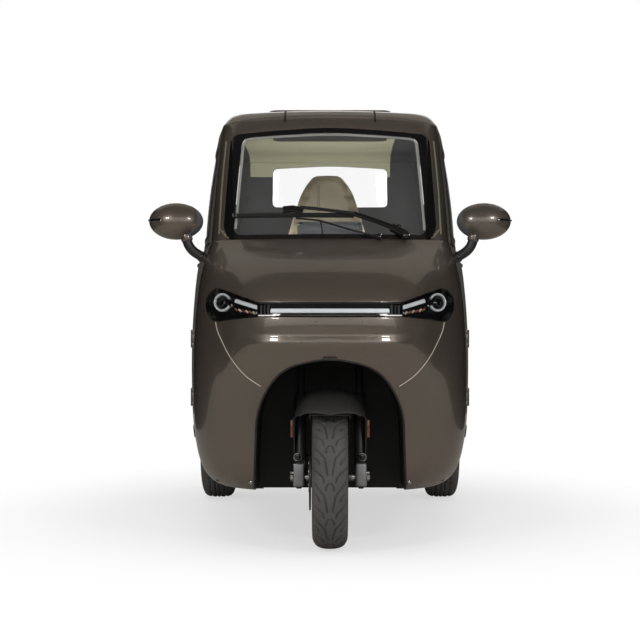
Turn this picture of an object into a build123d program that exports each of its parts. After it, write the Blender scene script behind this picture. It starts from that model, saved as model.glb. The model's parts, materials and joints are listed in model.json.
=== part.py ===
"""Enclosed electric tricycle: one steered wheel in front, two driven wheels behind, a closed cabin with two doors.

Millimetres. +Z is up, the front faces -Y, and the origin is on the ground under the middle of the vehicle.
"""
import os
from math import cos, radians, sin, sqrt, tan

from build123d import *

os.makedirs("parts", exist_ok=True)

# Layout
WHEELBASE = 1600
FRONT_AXLE_Y = -867
REAR_AXLE_Y = FRONT_AXLE_Y + WHEELBASE

# Wheels
FRONT_TYRE_RADIUS = 236.5
FRONT_TYRE_WIDTH = 118
REAR_TYRE_RADIUS = 247
REAR_TYRE_WIDTH = 138
RIM_RADIUS = 155
REAR_TRACK = 950
AXLE_RADIUS = 8
RUNNING_GAP = 0.3

# Steering
RAKE = 20
FORK_HALF_SPREAD = 98
FORK_SLIDER_RADIUS = 18
FORK_TUBE_RADIUS = 13
STEM_RADIUS = 14
HEAD_TUBE_RADIUS = 28
CROWN_S = 430
HEAD_TUBE_START_S = 462
HEAD_TUBE_END_S = 600
HANDLEBAR_S = 860

# Body walls and gaps
WALL = 36
PANEL_GAP = 5
GLASS = 6
GLASS_INSET = 4
SILL_Z = 188
BELT_Z = 1030
EAVES_Z = 1460
ROOF_THICKNESS = 26

# Heights and stations along the body; stations count from the front axle
DOOR_FRONT = 470
DOOR_REAR = 1235
DOOR_BOTTOM_Z = 315
DOOR_TOP_Z = 1438
DOOR_SLANT = 130
REAR_SPLIT = 1850
LAMP_Z = 790
LIGHT_BAR_BOTTOM_Z = 765
LIGHT_BAR_TOP_Z = 812
LIGHT_BAR_HALF = 228
FLOOR_Z = 290
FLOOR_SHEET = 8
REAR_FLOOR_Z = 500
STEP_STATION = 1330
RAIL_HEIGHT = 50
RAIL_WIDTH = 40
RAIL_HALF_SPREAD = 230
BULKHEAD = 345

# Plan sections of the outer skin. Stations count from the front axle, and each corner is rounded.
# height, nose, brow half width, brow station, corner half width, corner station, flank half width,
# rear half width, tail
LOWER_SECTIONS = [
    (SILL_Z, 10, 235, 34, 350, 150, 452, 428, 1895),
    (310, -95, 250, -63, 442, 70, 538, 525, 1990),
    (500, -180, 255, -144, 453, 40, 552, 545, 2016),
    (720, -290, 255, -252, 448, 20, 551, 541, 2020),
    (830, -262, 248, -220, 440, 35, 545, 530, 2006),
    (930, -149, 241, -108, 426, 86, 538, 521, 1982),
    (BELT_Z, 75, 235, 105, 402, 190, 510, 496, 1945),
]
CABIN_SECTIONS = [
    (BELT_Z, 75, 235, 105, 402, 190, 510, 496, 1945),
    (1250, 195, 230, 225, 392, 305, 491, 475, 1920),
    (EAVES_Z, 325, 222, 358, 378, 425, 450, 433, 1870),
]
ROOF_SECTIONS = [
    (EAVES_Z, 325, 222, 358, 378, 425, 450, 433, 1870),
    (1490, 368, 214, 400, 360, 470, 436, 416, 1850),
    (1512, 470, 196, 505, 336, 560, 402, 382, 1800),
    (1528, 650, 150, 690, 265, 750, 320, 300, 1680),
]
FLANK_STATION = 1050
TAIL_BOW = 25
# How far along its shorter neighbour each corner is rounded: nose, brow, corner, flank, rear corner, tail
ROUNDING = [0.45, 0.45, 0.45, 0.45, 0.28, 0.45]


def section_points(row):
    """The section's corners, counterclockwise seen from above, from the nose round the right-hand side."""
    height, nose, brow_x, brow, corner_x, corner, flank_x, rear_x, tail = row
    half = [
        (0, nose),
        (brow_x, brow),
        (corner_x, corner),
        (flank_x, FLANK_STATION),
        (rear_x, tail - TAIL_BOW),
        (0, tail),
    ]
    left = [(-x, y) for x, y in reversed(half[1:-1])]
    return [Vector(x, y + FRONT_AXLE_Y) for x, y in half + left]


def moved_in(points, distance):
    """The same outline with every side moved in by one distance."""
    moved = []
    for i, here in enumerate(points):
        before = (here - points[i - 1]).normalized()
        after = (points[(i + 1) % len(points)] - here).normalized()
        inward_before = Vector(-before.Y, before.X)
        inward_after = Vector(-after.Y, after.X)
        share = distance / (1 + inward_before.dot(inward_after))
        moved.append(here + (inward_before + inward_after) * share)
    return moved


def soft_radii(points, shares):
    """A radius for each corner that rounds the given share of the shorter side beside it."""
    radii = []
    for i, here in enumerate(points):
        before = here - points[i - 1]
        after = points[(i + 1) % len(points)] - here
        turn = before.get_angle(after)
        radii.append(shares[i] * min(before.length, after.length) / tan(radians(turn / 2)))
    return radii


def skin(sections, inset, drop=0):
    """The body's form inside its outer skin by the inset, lowered by the drop."""
    shares = ROUNDING + list(reversed(ROUNDING[1:-1]))
    with BuildPart() as form:
        for row in sections:
            points = moved_in(section_points(row), inset)
            with BuildSketch(Plane.XY.offset(row[0] - drop)):
                with BuildLine():
                    FilletPolyline(*points, radius=soft_radii(points, shares), close=True)
                make_face()
        loft()
    return form.part


def front_prism(points, shares, start, end):
    """A prism along the vehicle whose outline is given as seen from the front."""
    corners = [Vector(x, z) for x, z in points]
    with BuildPart() as prism:
        with BuildSketch(Plane(origin=(0, FRONT_AXLE_Y + start, 0), x_dir=(1, 0, 0), z_dir=(0, -1, 0))):
            with BuildLine():
                FilletPolyline(*corners, radius=soft_radii(corners, shares), close=True)
            make_face()
        extrude(amount=start - end)
    return prism.part


def side_prism(points, shares, start, end):
    """A prism across the vehicle whose outline is given as seen from its side."""
    corners = [Vector(y + FRONT_AXLE_Y, z) for y, z in points]
    with BuildPart() as prism:
        with BuildSketch(Plane.YZ.offset(start)):
            with BuildLine():
                FilletPolyline(*corners, radius=soft_radii(corners, shares), close=True)
            make_face()
        extrude(amount=end - start)
    return prism.part


def block(x0, x1, y0, y1, z0, z1):
    """A box between two corners; its y values are stations from the front axle."""
    with BuildPart() as box:
        with Locations(((x0 + x1) / 2, FRONT_AXLE_Y + (y0 + y1) / 2, (z0 + z1) / 2)):
            Box(x1 - x0, y1 - y0, z1 - z0)
    return box.part


def mirrored(half):
    """Both halves of an outline that is given for the right-hand side, from its top to its bottom."""
    return half + [(-x, z) for x, z in reversed(half) if x != 0]


def rod(start, end, radius):
    """A round bar between two points."""
    with BuildPart() as bar:
        run = Vector(*end) - Vector(*start)
        with BuildSketch(Plane(origin=start, z_dir=run)):
            Circle(radius)
        extrude(amount=run.length)
    return bar.part


def on_steering(s, x=0, across=0):
    """The point at s along the steering axis from the front axle, moved sideways and back square to it."""
    y = FRONT_AXLE_Y + s * sin(radians(RAKE)) + across * cos(radians(RAKE))
    z = FRONT_TYRE_RADIUS + s * cos(radians(RAKE)) - across * sin(radians(RAKE))
    return (x, y, z)


def write(piece, name):
    piece.part.label = name
    export_step(piece.part, f"parts/{name}.step")


# Forms that several panels are cut from
outer_lower = skin(LOWER_SECTIONS, 0)
outer_cabin = skin(CABIN_SECTIONS, 0)
inner_lower = skin(LOWER_SECTIONS, WALL)
inner_cabin = skin(CABIN_SECTIONS, WALL)
with BuildPart() as lower_shell:
    add(outer_lower)
    add(inner_lower, mode=Mode.SUBTRACT)
with BuildPart() as cabin_shell:
    add(outer_cabin)
    add(inner_cabin, mode=Mode.SUBTRACT)
with BuildPart() as glass_shell:
    add(skin(CABIN_SECTIONS, GLASS_INSET))
    add(skin(CABIN_SECTIONS, GLASS_INSET + GLASS), mode=Mode.SUBTRACT)

FAR = 1500
ARCH = mirrored([(0, 634), (155, 600), (236, 470), (250, 150)])
ARCH_SHARES = [0.4, 0.45, 0.45, 0, 0, 0.45, 0.45]
arch_prism = front_prism(ARCH, ARCH_SHARES, -500, BULKHEAD - 40)
NOSE = mirrored([(378, 900), (372, 765), (318, 632), (215, 530), (215, 150)])
NOSE_SHARES = [0, 0.3, 0.3, 0.2, 0, 0, 0.2, 0.3, 0.3, 0]
nose_prism = front_prism(NOSE, NOSE_SHARES, -500, DOOR_FRONT)
LAMP = [
    (LIGHT_BAR_HALF, LIGHT_BAR_TOP_Z),
    (300, 838),
    (375, 864),
    (410, 838),
    (414, 790),
    (385, 748),
    (300, 758),
    (LIGHT_BAR_HALF, LIGHT_BAR_BOTTOM_Z),
]
LAMP_SHARES = [0, 0.3, 0.4, 0.4, 0.4, 0.4, 0.3, 0]
lamp_right_prism = front_prism(LAMP, LAMP_SHARES, -500, 250)
lamp_left_prism = front_prism([(-x, z) for x, z in LAMP], LAMP_SHARES, -500, 250)
bar_prism = block(-LIGHT_BAR_HALF, LIGHT_BAR_HALF, -500, 0, LIGHT_BAR_BOTTOM_Z, LIGHT_BAR_TOP_Z)
BAND_BOTTOM_Z = BELT_Z - 2
SCREEN_BAND = [(0, 1434), (352, 1414), (366, 1075), (345, BAND_BOTTOM_Z), (-345, BAND_BOTTOM_Z), (-366, 1075), (-352, 1414)]
SCREEN_BAND_SHARES = [0.3, 0.1, 0.3, 0.3, 0.3, 0.3, 0.1]
SCREEN_CLEAR = [(0, 1414), (310, 1401), (331, 1046), (-331, 1046), (-310, 1401)]
SCREEN_CLEAR_SHARES = [0.3, 0.1, 0.08, 0.08, 0.1]
screen_band_prism = front_prism(SCREEN_BAND, SCREEN_BAND_SHARES, -100, 460)
screen_clear_prism = front_prism(SCREEN_CLEAR, SCREEN_CLEAR_SHARES, -100, 460)


def door_outline(grow):
    """The door's outline from the side, grown by a gap."""
    return [
        (DOOR_FRONT - grow, DOOR_BOTTOM_Z - grow),
        (DOOR_REAR + grow, DOOR_BOTTOM_Z - grow),
        (DOOR_REAR + grow, BELT_Z),
        (DOOR_REAR - 30 + grow, DOOR_TOP_Z + grow),
        (DOOR_FRONT + DOOR_SLANT - grow, DOOR_TOP_Z + grow),
        (DOOR_FRONT - grow, BELT_Z),
    ]


DOOR_SHARES = [0.06, 0.06, 0.1, 0.1, 0.1, 0.1]
DOOR_WINDOW = [(545, 1068), (1190, 1068), (1165, 1398), (655, 1398)]
QUARTER_WINDOW = [(1305, 1068), (1800, 1068), (1760, 1398), (1305, 1398)]
WINDOW_SHARES = [0.12, 0.12, 0.12, 0.12]
REAR_WINDOW = [(-258, 1266), (258, 1266), (254, 1436), (0, 1450), (-254, 1436)]
REAR_WINDOW_SHARES = [0.12, 0.12, 0.12, 0.3, 0.12]
REAR_CORNER_X = 370
rear_wall_block = block(-REAR_CORNER_X, REAR_CORNER_X, QUARTER_WINDOW[1][0], REAR_SPLIT, BELT_Z, EAVES_Z)
LID_HALF = 385
LID_BOTTOM_Z = 540
LID_TOP_Z = 930

# Frame
RAIL_TOP_Z = FLOOR_Z
RISER_STATION = STEP_STATION - 48
RAIL_END_STATION = 1940
with BuildPart() as chassis_frame:
    for side in (-1, 1):
        x = side * RAIL_HALF_SPREAD
        add(block(x - RAIL_WIDTH / 2, x + RAIL_WIDTH / 2, BULKHEAD - 30, RISER_STATION,
                  RAIL_TOP_Z - RAIL_HEIGHT, RAIL_TOP_Z))
        add(block(x - RAIL_WIDTH / 2, x + RAIL_WIDTH / 2, RISER_STATION, RISER_STATION + 40,
                  RAIL_TOP_Z - RAIL_HEIGHT, REAR_FLOOR_Z))
        add(block(x - RAIL_WIDTH / 2, x + RAIL_WIDTH / 2, RISER_STATION, RAIL_END_STATION,
                  REAR_FLOOR_Z - RAIL_HEIGHT, REAR_FLOOR_Z))
        add(block(side * 110 - 20, side * 110 + 20, BULKHEAD - 30, BULKHEAD + 10, RAIL_TOP_Z - RAIL_HEIGHT, 760))
    for station in (BULKHEAD - 30, 800, RISER_STATION):
        add(block(-RAIL_HALF_SPREAD, RAIL_HALF_SPREAD, station, station + 40,
                  RAIL_TOP_Z - RAIL_HEIGHT, RAIL_TOP_Z))
    for station in (RAIL_END_STATION - 40, RISER_STATION):
        add(block(-RAIL_HALF_SPREAD, RAIL_HALF_SPREAD, station, station + 40,
                  REAR_FLOOR_Z - RAIL_HEIGHT, REAR_FLOOR_Z))
    add(block(-110, 110, BULKHEAD - 30, BULKHEAD + 10, 720, 760))
    add(block(-25, 25, 200, BULKHEAD - 20, 715, 765))
    add(rod(on_steering(HEAD_TUBE_START_S), on_steering(HEAD_TUBE_END_S), HEAD_TUBE_RADIUS))
    add(rod(on_steering(HEAD_TUBE_START_S - 5), on_steering(HEAD_TUBE_END_S + 5), STEM_RADIUS + RUNNING_GAP),
        mode=Mode.SUBTRACT)
write(chassis_frame, "chassis_frame")

with BuildPart() as pan_sheets:
    add(block(-600, 600, BULKHEAD + 10, STEP_STATION, FLOOR_Z, FLOOR_Z + FLOOR_SHEET))
    add(block(-600, 600, STEP_STATION - FLOOR_SHEET, STEP_STATION, FLOOR_Z, REAR_FLOOR_Z + FLOOR_SHEET))
    add(block(-600, 600, STEP_STATION - FLOOR_SHEET, 2050, REAR_FLOOR_Z, REAR_FLOOR_Z + FLOOR_SHEET))
    add(block(-600, 600, BULKHEAD + 10, BULKHEAD + 10 + FLOOR_SHEET, FLOOR_Z, 880))

# Rear wheel wells: a box over each rear wheel, open outwards and below
AXLE_STATION = WHEELBASE
WELL_HALF_LENGTH = REAR_TYRE_RADIUS + 33
WELL_INNER_X = REAR_TRACK / 2 - REAR_TYRE_WIDTH / 2 - 26
WELL_TOP_Z = REAR_TYRE_RADIUS * 2 + 60
WELL_SHEET = 5
WELL_OUTLINE = [
    (AXLE_STATION - WELL_HALF_LENGTH, SILL_Z - 60),
    (AXLE_STATION + WELL_HALF_LENGTH, SILL_Z - 60),
    (AXLE_STATION + WELL_HALF_LENGTH, WELL_TOP_Z),
    (AXLE_STATION - WELL_HALF_LENGTH, WELL_TOP_Z),
]
WELL_OUTER_OUTLINE = [
    (AXLE_STATION - WELL_HALF_LENGTH - WELL_SHEET, SILL_Z),
    (AXLE_STATION + WELL_HALF_LENGTH + WELL_SHEET, SILL_Z),
    (AXLE_STATION + WELL_HALF_LENGTH + WELL_SHEET, WELL_TOP_Z + WELL_SHEET),
    (AXLE_STATION - WELL_HALF_LENGTH - WELL_SHEET, WELL_TOP_Z + WELL_SHEET),
]
WELL_SHARES = [0, 0, 0.45, 0.45]
well_space = {
    side: side_prism(WELL_OUTLINE, WELL_SHARES, *sorted((side * WELL_INNER_X, side * 700))) for side in (-1, 1)
}
well_form = {
    side: side_prism(WELL_OUTER_OUTLINE, WELL_SHARES, *sorted((side * (WELL_INNER_X - WELL_SHEET), side * 700)))
    for side in (-1, 1)
}

with BuildPart() as floor_pan:
    add(inner_lower)
    add(pan_sheets.part, mode=Mode.INTERSECT)
    add(chassis_frame.part, mode=Mode.SUBTRACT)
    for side in (-1, 1):
        add(well_form[side], mode=Mode.SUBTRACT)
write(floor_pan, "floor_pan")

with BuildPart() as rear_wheel_wells:
    add(inner_lower)
    add(well_form[-1] + well_form[1], mode=Mode.INTERSECT)
    for side in (-1, 1):
        add(well_space[side], mode=Mode.SUBTRACT)
    add(rod((-700, REAR_AXLE_Y, REAR_TYRE_RADIUS), (700, REAR_AXLE_Y, REAR_TYRE_RADIUS), 62), mode=Mode.SUBTRACT)
write(rear_wheel_wells, "rear_wheel_wells")

# Front wheel well: an arched tunnel behind the nose, closed at its rear, open for the fork at its top
LINER = 5
LINER_BOTTOM_Z = 170
LINER_HALF_WIDTH = 245
with BuildPart() as front_wheel_well:
    add(inner_lower)
    add(front_prism(mirrored([(0, 634 + LINER), (158, 603), (236 + LINER, 470), (250 + LINER, 150)]),
                    ARCH_SHARES, -500, BULKHEAD - 35), mode=Mode.INTERSECT)
    add(arch_prism, mode=Mode.SUBTRACT)
    add(block(-LINER_HALF_WIDTH, LINER_HALF_WIDTH, BULKHEAD - 40, BULKHEAD - 35, LINER_BOTTOM_Z, FLOOR_Z + 10))
    add(rod(on_steering(300), on_steering(700), FORK_HALF_SPREAD + FORK_SLIDER_RADIUS + 18), mode=Mode.SUBTRACT)
write(front_wheel_well, "front_wheel_well")

# Front skin
with BuildPart() as nose_panel:
    add(lower_shell.part)
    add(block(-FAR, FAR, -FAR, DOOR_FRONT - PANEL_GAP, 0, LAMP_Z), mode=Mode.INTERSECT)
    add(nose_prism, mode=Mode.INTERSECT)
    add(arch_prism, mode=Mode.SUBTRACT)
    add(bar_prism, mode=Mode.SUBTRACT)
    add(lamp_right_prism, mode=Mode.SUBTRACT)
    add(lamp_left_prism, mode=Mode.SUBTRACT)
write(nose_panel, "nose_panel")

HINGE_RADIUS = 8
HINGE_PIN_RADIUS = 4
HINGE_STATION = DOOR_FRONT
HINGE_X = 494
HINGE_HEIGHTS = [480, 690]
KNUCKLE = 16
HINGE_POCKET = HINGE_RADIUS + 3


def upright(side, radius, z0, z1):
    """A round bar on a side door's hinge line."""
    foot = (side * HINGE_X, FRONT_AXLE_Y + HINGE_STATION)
    return rod((*foot, z0), (*foot, z1), radius)


for side, name in ((1, "left"), (-1, "right")):
    with BuildPart() as front_corner:
        add(lower_shell.part)
        add(block(*sorted((0, side * FAR)), -FAR, DOOR_FRONT - PANEL_GAP, 0, LAMP_Z), mode=Mode.INTERSECT)
        add(nose_prism, mode=Mode.SUBTRACT)
        add(arch_prism, mode=Mode.SUBTRACT)
        add(lamp_right_prism, mode=Mode.SUBTRACT)
        add(lamp_left_prism, mode=Mode.SUBTRACT)
        for height in HINGE_HEIGHTS:
            add(upright(side, HINGE_POCKET, height - KNUCKLE - 2, height + KNUCKLE + 2), mode=Mode.SUBTRACT)
            for low in (height - 2 * KNUCKLE, height + KNUCKLE + RUNNING_GAP):
                add(upright(side, HINGE_RADIUS, low, low + KNUCKLE - RUNNING_GAP))
            add(upright(side, HINGE_PIN_RADIUS, height - 2 * KNUCKLE, height + 2 * KNUCKLE))
    write(front_corner, f"front_corner_{name}")

with BuildPart() as bonnet:
    add(lower_shell.part)
    add(block(-FAR, FAR, -FAR, DOOR_FRONT - PANEL_GAP, LAMP_Z, BELT_Z), mode=Mode.INTERSECT)
    add(bar_prism, mode=Mode.SUBTRACT)
    add(lamp_right_prism, mode=Mode.SUBTRACT)
    add(lamp_left_prism, mode=Mode.SUBTRACT)
write(bonnet, "bonnet")

LAMP_RECESS = 8
with BuildPart() as lamp_shell:
    add(skin(LOWER_SECTIONS, LAMP_RECESS))
    add(inner_lower, mode=Mode.SUBTRACT)
with BuildPart() as light_bar:
    add(lamp_shell.part)
    add(bar_prism, mode=Mode.INTERSECT)
write(light_bar, "light_bar")
for prism, name in ((lamp_right_prism, "left"), (lamp_left_prism, "right")):
    with BuildPart() as headlamp:
        add(lower_shell.part)
        add(prism, mode=Mode.INTERSECT)
    write(headlamp, f"headlamp_{name}")

with BuildPart() as windscreen_surround:
    add(cabin_shell.part)
    add(block(-FAR, FAR, -FAR, DOOR_FRONT - PANEL_GAP, BELT_Z, EAVES_Z), mode=Mode.INTERSECT)
    add(screen_band_prism, mode=Mode.INTERSECT)
    add(screen_clear_prism, mode=Mode.SUBTRACT)
write(windscreen_surround, "windscreen_surround")

with BuildPart() as windscreen:
    add(glass_shell.part)
    add(screen_clear_prism, mode=Mode.INTERSECT)
write(windscreen, "windscreen")

with BuildPart() as windscreen_pillars:
    add(cabin_shell.part)
    add(block(-FAR, FAR, -FAR, DOOR_FRONT - PANEL_GAP, BELT_Z, EAVES_Z), mode=Mode.INTERSECT)
    add(screen_band_prism, mode=Mode.SUBTRACT)
write(windscreen_pillars, "windscreen_pillars")

# Roof and hatch
HATCH_HALF_WIDTH = 228
HATCH_FRONT = 600
HATCH_REAR = 1190
HATCH_TOP_Z = 1533
with BuildPart() as roof:
    add(skin(ROOF_SECTIONS, 0))
    add(skin(ROOF_SECTIONS, WALL, ROOF_THICKNESS), mode=Mode.SUBTRACT)
    with BuildSketch(Plane.XY.offset(EAVES_Z)):
        with Locations((0, FRONT_AXLE_Y + (HATCH_FRONT + HATCH_REAR) / 2)):
            RectangleRounded(2 * HATCH_HALF_WIDTH, HATCH_REAR - HATCH_FRONT, 40)
    extrude(amount=300, mode=Mode.SUBTRACT)
write(roof, "roof")

with BuildPart() as roof_hatch:
    with BuildSketch(Plane.XY.offset(HATCH_TOP_Z - 50)):
        with Locations((0, FRONT_AXLE_Y + (HATCH_FRONT + HATCH_REAR) / 2)):
            RectangleRounded(2 * HATCH_HALF_WIDTH, HATCH_REAR - HATCH_FRONT, 40)
    extrude(amount=50)
    fillet(roof_hatch.edges().group_by(Axis.Z)[-1], 10)
write(roof_hatch, "roof_hatch")

# Side doors, body sides and their glass
with BuildPart() as side_shell:
    add(lower_shell.part)
    add(cabin_shell.part)
for side, name in ((1, "left"), (-1, "right")):
    reach = sorted((0, side * FAR))
    with BuildPart() as door:
        add(side_shell.part)
        add(side_prism(door_outline(0), DOOR_SHARES, *reach), mode=Mode.INTERSECT)
        add(side_prism(DOOR_WINDOW, WINDOW_SHARES, *reach), mode=Mode.SUBTRACT)
        for height in HINGE_HEIGHTS:
            for low in (height - 2 * KNUCKLE - 2, height + KNUCKLE):
                add(upright(side, HINGE_POCKET, low, low + KNUCKLE + 2), mode=Mode.SUBTRACT)
            add(upright(side, HINGE_RADIUS, height - KNUCKLE, height + KNUCKLE))
            add(upright(side, HINGE_PIN_RADIUS + RUNNING_GAP, height - 2 * KNUCKLE, height + 2 * KNUCKLE),
                mode=Mode.SUBTRACT)
    write(door, f"door_{name}")
    with BuildPart() as door_glass:
        add(glass_shell.part)
        add(side_prism(DOOR_WINDOW, WINDOW_SHARES, *reach), mode=Mode.INTERSECT)
    write(door_glass, f"door_glass_{name}")
    with BuildPart() as body_side:
        add(side_shell.part)
        add(block(*reach, DOOR_FRONT - PANEL_GAP, REAR_SPLIT, 0, EAVES_Z), mode=Mode.INTERSECT)
        add(side_prism(door_outline(PANEL_GAP), DOOR_SHARES, *reach), mode=Mode.SUBTRACT)
        add(side_prism(QUARTER_WINDOW, WINDOW_SHARES, *reach), mode=Mode.SUBTRACT)
        add(well_space[side], mode=Mode.SUBTRACT)
        add(block(-WELL_INNER_X, WELL_INNER_X, AXLE_STATION, REAR_SPLIT, 0, FLOOR_Z), mode=Mode.SUBTRACT)
        add(rear_wall_block, mode=Mode.SUBTRACT)
    write(body_side, f"body_side_{name}")

with BuildPart() as quarter_glass:
    add(glass_shell.part)
    add(side_prism(QUARTER_WINDOW, WINDOW_SHARES, -FAR, FAR), mode=Mode.INTERSECT)
write(quarter_glass, "quarter_glass")

# Rear
rear_window_prism = front_prism(REAR_WINDOW, REAR_WINDOW_SHARES, 1700, 2200)


def lid_prism(grow):
    return block(-LID_HALF - grow, LID_HALF + grow, REAR_SPLIT + 20 - grow, 2200,
                 LID_BOTTOM_Z - grow, LID_TOP_Z + grow)


LID_HINGE_STATION = 1986
LID_HINGE_Z = LID_TOP_Z - 2
LID_HINGE_XS = [-150, 150]
LID_HINGE_RADIUS = 10
LID_PIN_RADIUS = 5
LID_ARM_STATION = 1955
TAIL_LAMP = [(405, 640), (620, 640), (620, 890), (405, 890)]
TAIL_LAMP_SHARES = [0.3, 0, 0, 0.3]
tail_lamp_prisms = front_prism(TAIL_LAMP, TAIL_LAMP_SHARES, 1885, 2200)
tail_lamp_prisms += front_prism([(-x, z) for x, z in TAIL_LAMP], TAIL_LAMP_SHARES, 1885, 2200)


def lid_bar(x0, x1, radius):
    """A round bar on the boot lid's hinge line."""
    y = FRONT_AXLE_Y + LID_HINGE_STATION
    return rod((x0, y, LID_HINGE_Z), (x1, y, LID_HINGE_Z), radius)


with BuildPart() as rear_panel:
    add(side_shell.part)
    add(block(-FAR, FAR, REAR_SPLIT, 2300, 0, EAVES_Z) + rear_wall_block, mode=Mode.INTERSECT)
    add(rear_window_prism, mode=Mode.SUBTRACT)
    add(lid_prism(PANEL_GAP), mode=Mode.SUBTRACT)
    for side in (-1, 1):
        add(well_space[side], mode=Mode.SUBTRACT)
    add(tail_lamp_prisms, mode=Mode.SUBTRACT)
    for x in LID_HINGE_XS:
        for low in (x - 2 * KNUCKLE, x + KNUCKLE + RUNNING_GAP):
            high = low + KNUCKLE - RUNNING_GAP
            add(lid_bar(low, high, LID_HINGE_RADIUS))
            add(block(low, high, LID_ARM_STATION, LID_HINGE_STATION, LID_TOP_Z + PANEL_GAP, LID_TOP_Z + 25))
        add(lid_bar(x - 2 * KNUCKLE, x + 2 * KNUCKLE, LID_PIN_RADIUS))
write(rear_panel, "rear_panel")

with BuildPart() as tail_lamps:
    add(lower_shell.part)
    add(tail_lamp_prisms, mode=Mode.INTERSECT)
write(tail_lamps, "tail_lamps")

with BuildPart() as rear_window:
    add(glass_shell.part)
    add(rear_window_prism, mode=Mode.INTERSECT)
write(rear_window, "rear_window")

with BuildPart() as boot_lid:
    add(side_shell.part)
    add(lid_prism(0), mode=Mode.INTERSECT)
    for x in LID_HINGE_XS:
        add(lid_bar(x - KNUCKLE, x + KNUCKLE, LID_HINGE_RADIUS))
        add(block(x - KNUCKLE, x + KNUCKLE, LID_ARM_STATION, LID_HINGE_STATION,
                  LID_HINGE_Z - 20, LID_HINGE_Z - 4))
        add(lid_bar(x - KNUCKLE, x + KNUCKLE, LID_PIN_RADIUS + RUNNING_GAP), mode=Mode.SUBTRACT)
write(boot_lid, "boot_lid")


# Wheels
def ring(profile, radius, x):
    """A ring about a wheel's axle from a profile of (across, radius) points with rounded corners."""
    y, z = (FRONT_AXLE_Y, FRONT_TYRE_RADIUS) if radius == FRONT_TYRE_RADIUS else (REAR_AXLE_Y, REAR_TYRE_RADIUS)
    points, shares = profile
    corners = [Vector(x + across, out) for across, out in points]
    with BuildPart() as turned:
        with BuildSketch(Plane(origin=(0, y, z), x_dir=(1, 0, 0), z_dir=(0, -1, 0))):
            with BuildLine():
                FilletPolyline(*corners, radius=soft_radii(corners, shares), close=True)
            make_face()
        revolve(axis=Axis((0, y, z), (1, 0, 0)))
    return turned.part


def tyre_profile(width, radius):
    half = width / 2
    wall = (RIM_RADIUS + radius) / 2 - 8
    right = [(half - 14, RIM_RADIUS), (half, wall), (half - 5, radius - 14), (half - 24, radius)]
    left = [(-across, out) for across, out in reversed(right)]
    return right + left, [0, 0.45, 0.4, 0.4, 0.4, 0.4, 0.45, 0]


def box_profile(x0, x1, r0, r1):
    return ([(x0, r0), (x1, r0), (x1, r1), (x0, r1)], [0, 0, 0, 0])


HUB_BORE = AXLE_RADIUS + RUNNING_GAP
FRONT_HUB_HALF = 60
RIM_WALL = 6
DISC_X = -68
DISC_SHEET = 4
DISC_RADIUS = 110
with BuildPart() as front_tyre:
    add(ring(tyre_profile(FRONT_TYRE_WIDTH, FRONT_TYRE_RADIUS), FRONT_TYRE_RADIUS, 0))
write(front_tyre, "front_tyre")

with BuildPart() as front_rim:
    half = FRONT_TYRE_WIDTH / 2 - 14
    add(ring(box_profile(-half, half, RIM_RADIUS - RIM_WALL, RIM_RADIUS), FRONT_TYRE_RADIUS, 0))
    add(ring(box_profile(-8, 8, 20, RIM_RADIUS - RIM_WALL), FRONT_TYRE_RADIUS, 0))
    with Locations(Location((0, FRONT_AXLE_Y, FRONT_TYRE_RADIUS), (0, 90, 0))):
        with PolarLocations(90, 5):
            Cylinder(32, 40, mode=Mode.SUBTRACT)
    add(ring(box_profile(DISC_X - 2, FRONT_HUB_HALF, HUB_BORE, 30), FRONT_TYRE_RADIUS, 0))
    add(ring(box_profile(DISC_X, DISC_X + DISC_SHEET, 25, DISC_RADIUS), FRONT_TYRE_RADIUS, 0))
write(front_rim, "front_rim")

REAR_RIM_HALF = REAR_TYRE_WIDTH / 2 - 14
STUB_RADIUS = 15
STUB_LENGTH = 70
AXLE_TUBE_RADIUS = 32
AXLE_END_X = REAR_TRACK / 2 - 38
REAR_DISC_X = 10
for side, name in ((1, "left"), (-1, "right")):
    centre = side * REAR_TRACK / 2
    with BuildPart() as rear_tyre:
        add(ring(tyre_profile(REAR_TYRE_WIDTH, REAR_TYRE_RADIUS), REAR_TYRE_RADIUS, centre))
    write(rear_tyre, f"rear_tyre_{name}")
    with BuildPart() as rear_rim:
        face = sorted((side * REAR_DISC_X, side * (REAR_DISC_X + 14)))
        add(ring(box_profile(-REAR_RIM_HALF, REAR_RIM_HALF, RIM_RADIUS - RIM_WALL, RIM_RADIUS),
                 REAR_TYRE_RADIUS, centre))
        add(ring(box_profile(*face, 0, RIM_RADIUS - RIM_WALL), REAR_TYRE_RADIUS, centre))
        with Locations(Location((centre, REAR_AXLE_Y, REAR_TYRE_RADIUS), (0, 90, 0))):
            with PolarLocations(100, 8):
                Cylinder(22, 120, mode=Mode.SUBTRACT)
        drum = sorted((side * -34, side * REAR_DISC_X))
        add(ring(box_profile(*drum, 0, 72), REAR_TYRE_RADIUS, centre))
        stub = sorted((side * -34, side * (-34 - STUB_LENGTH)))
        add(ring(box_profile(*stub, 0, STUB_RADIUS), REAR_TYRE_RADIUS, centre))
    write(rear_rim, f"rear_rim_{name}")

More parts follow.
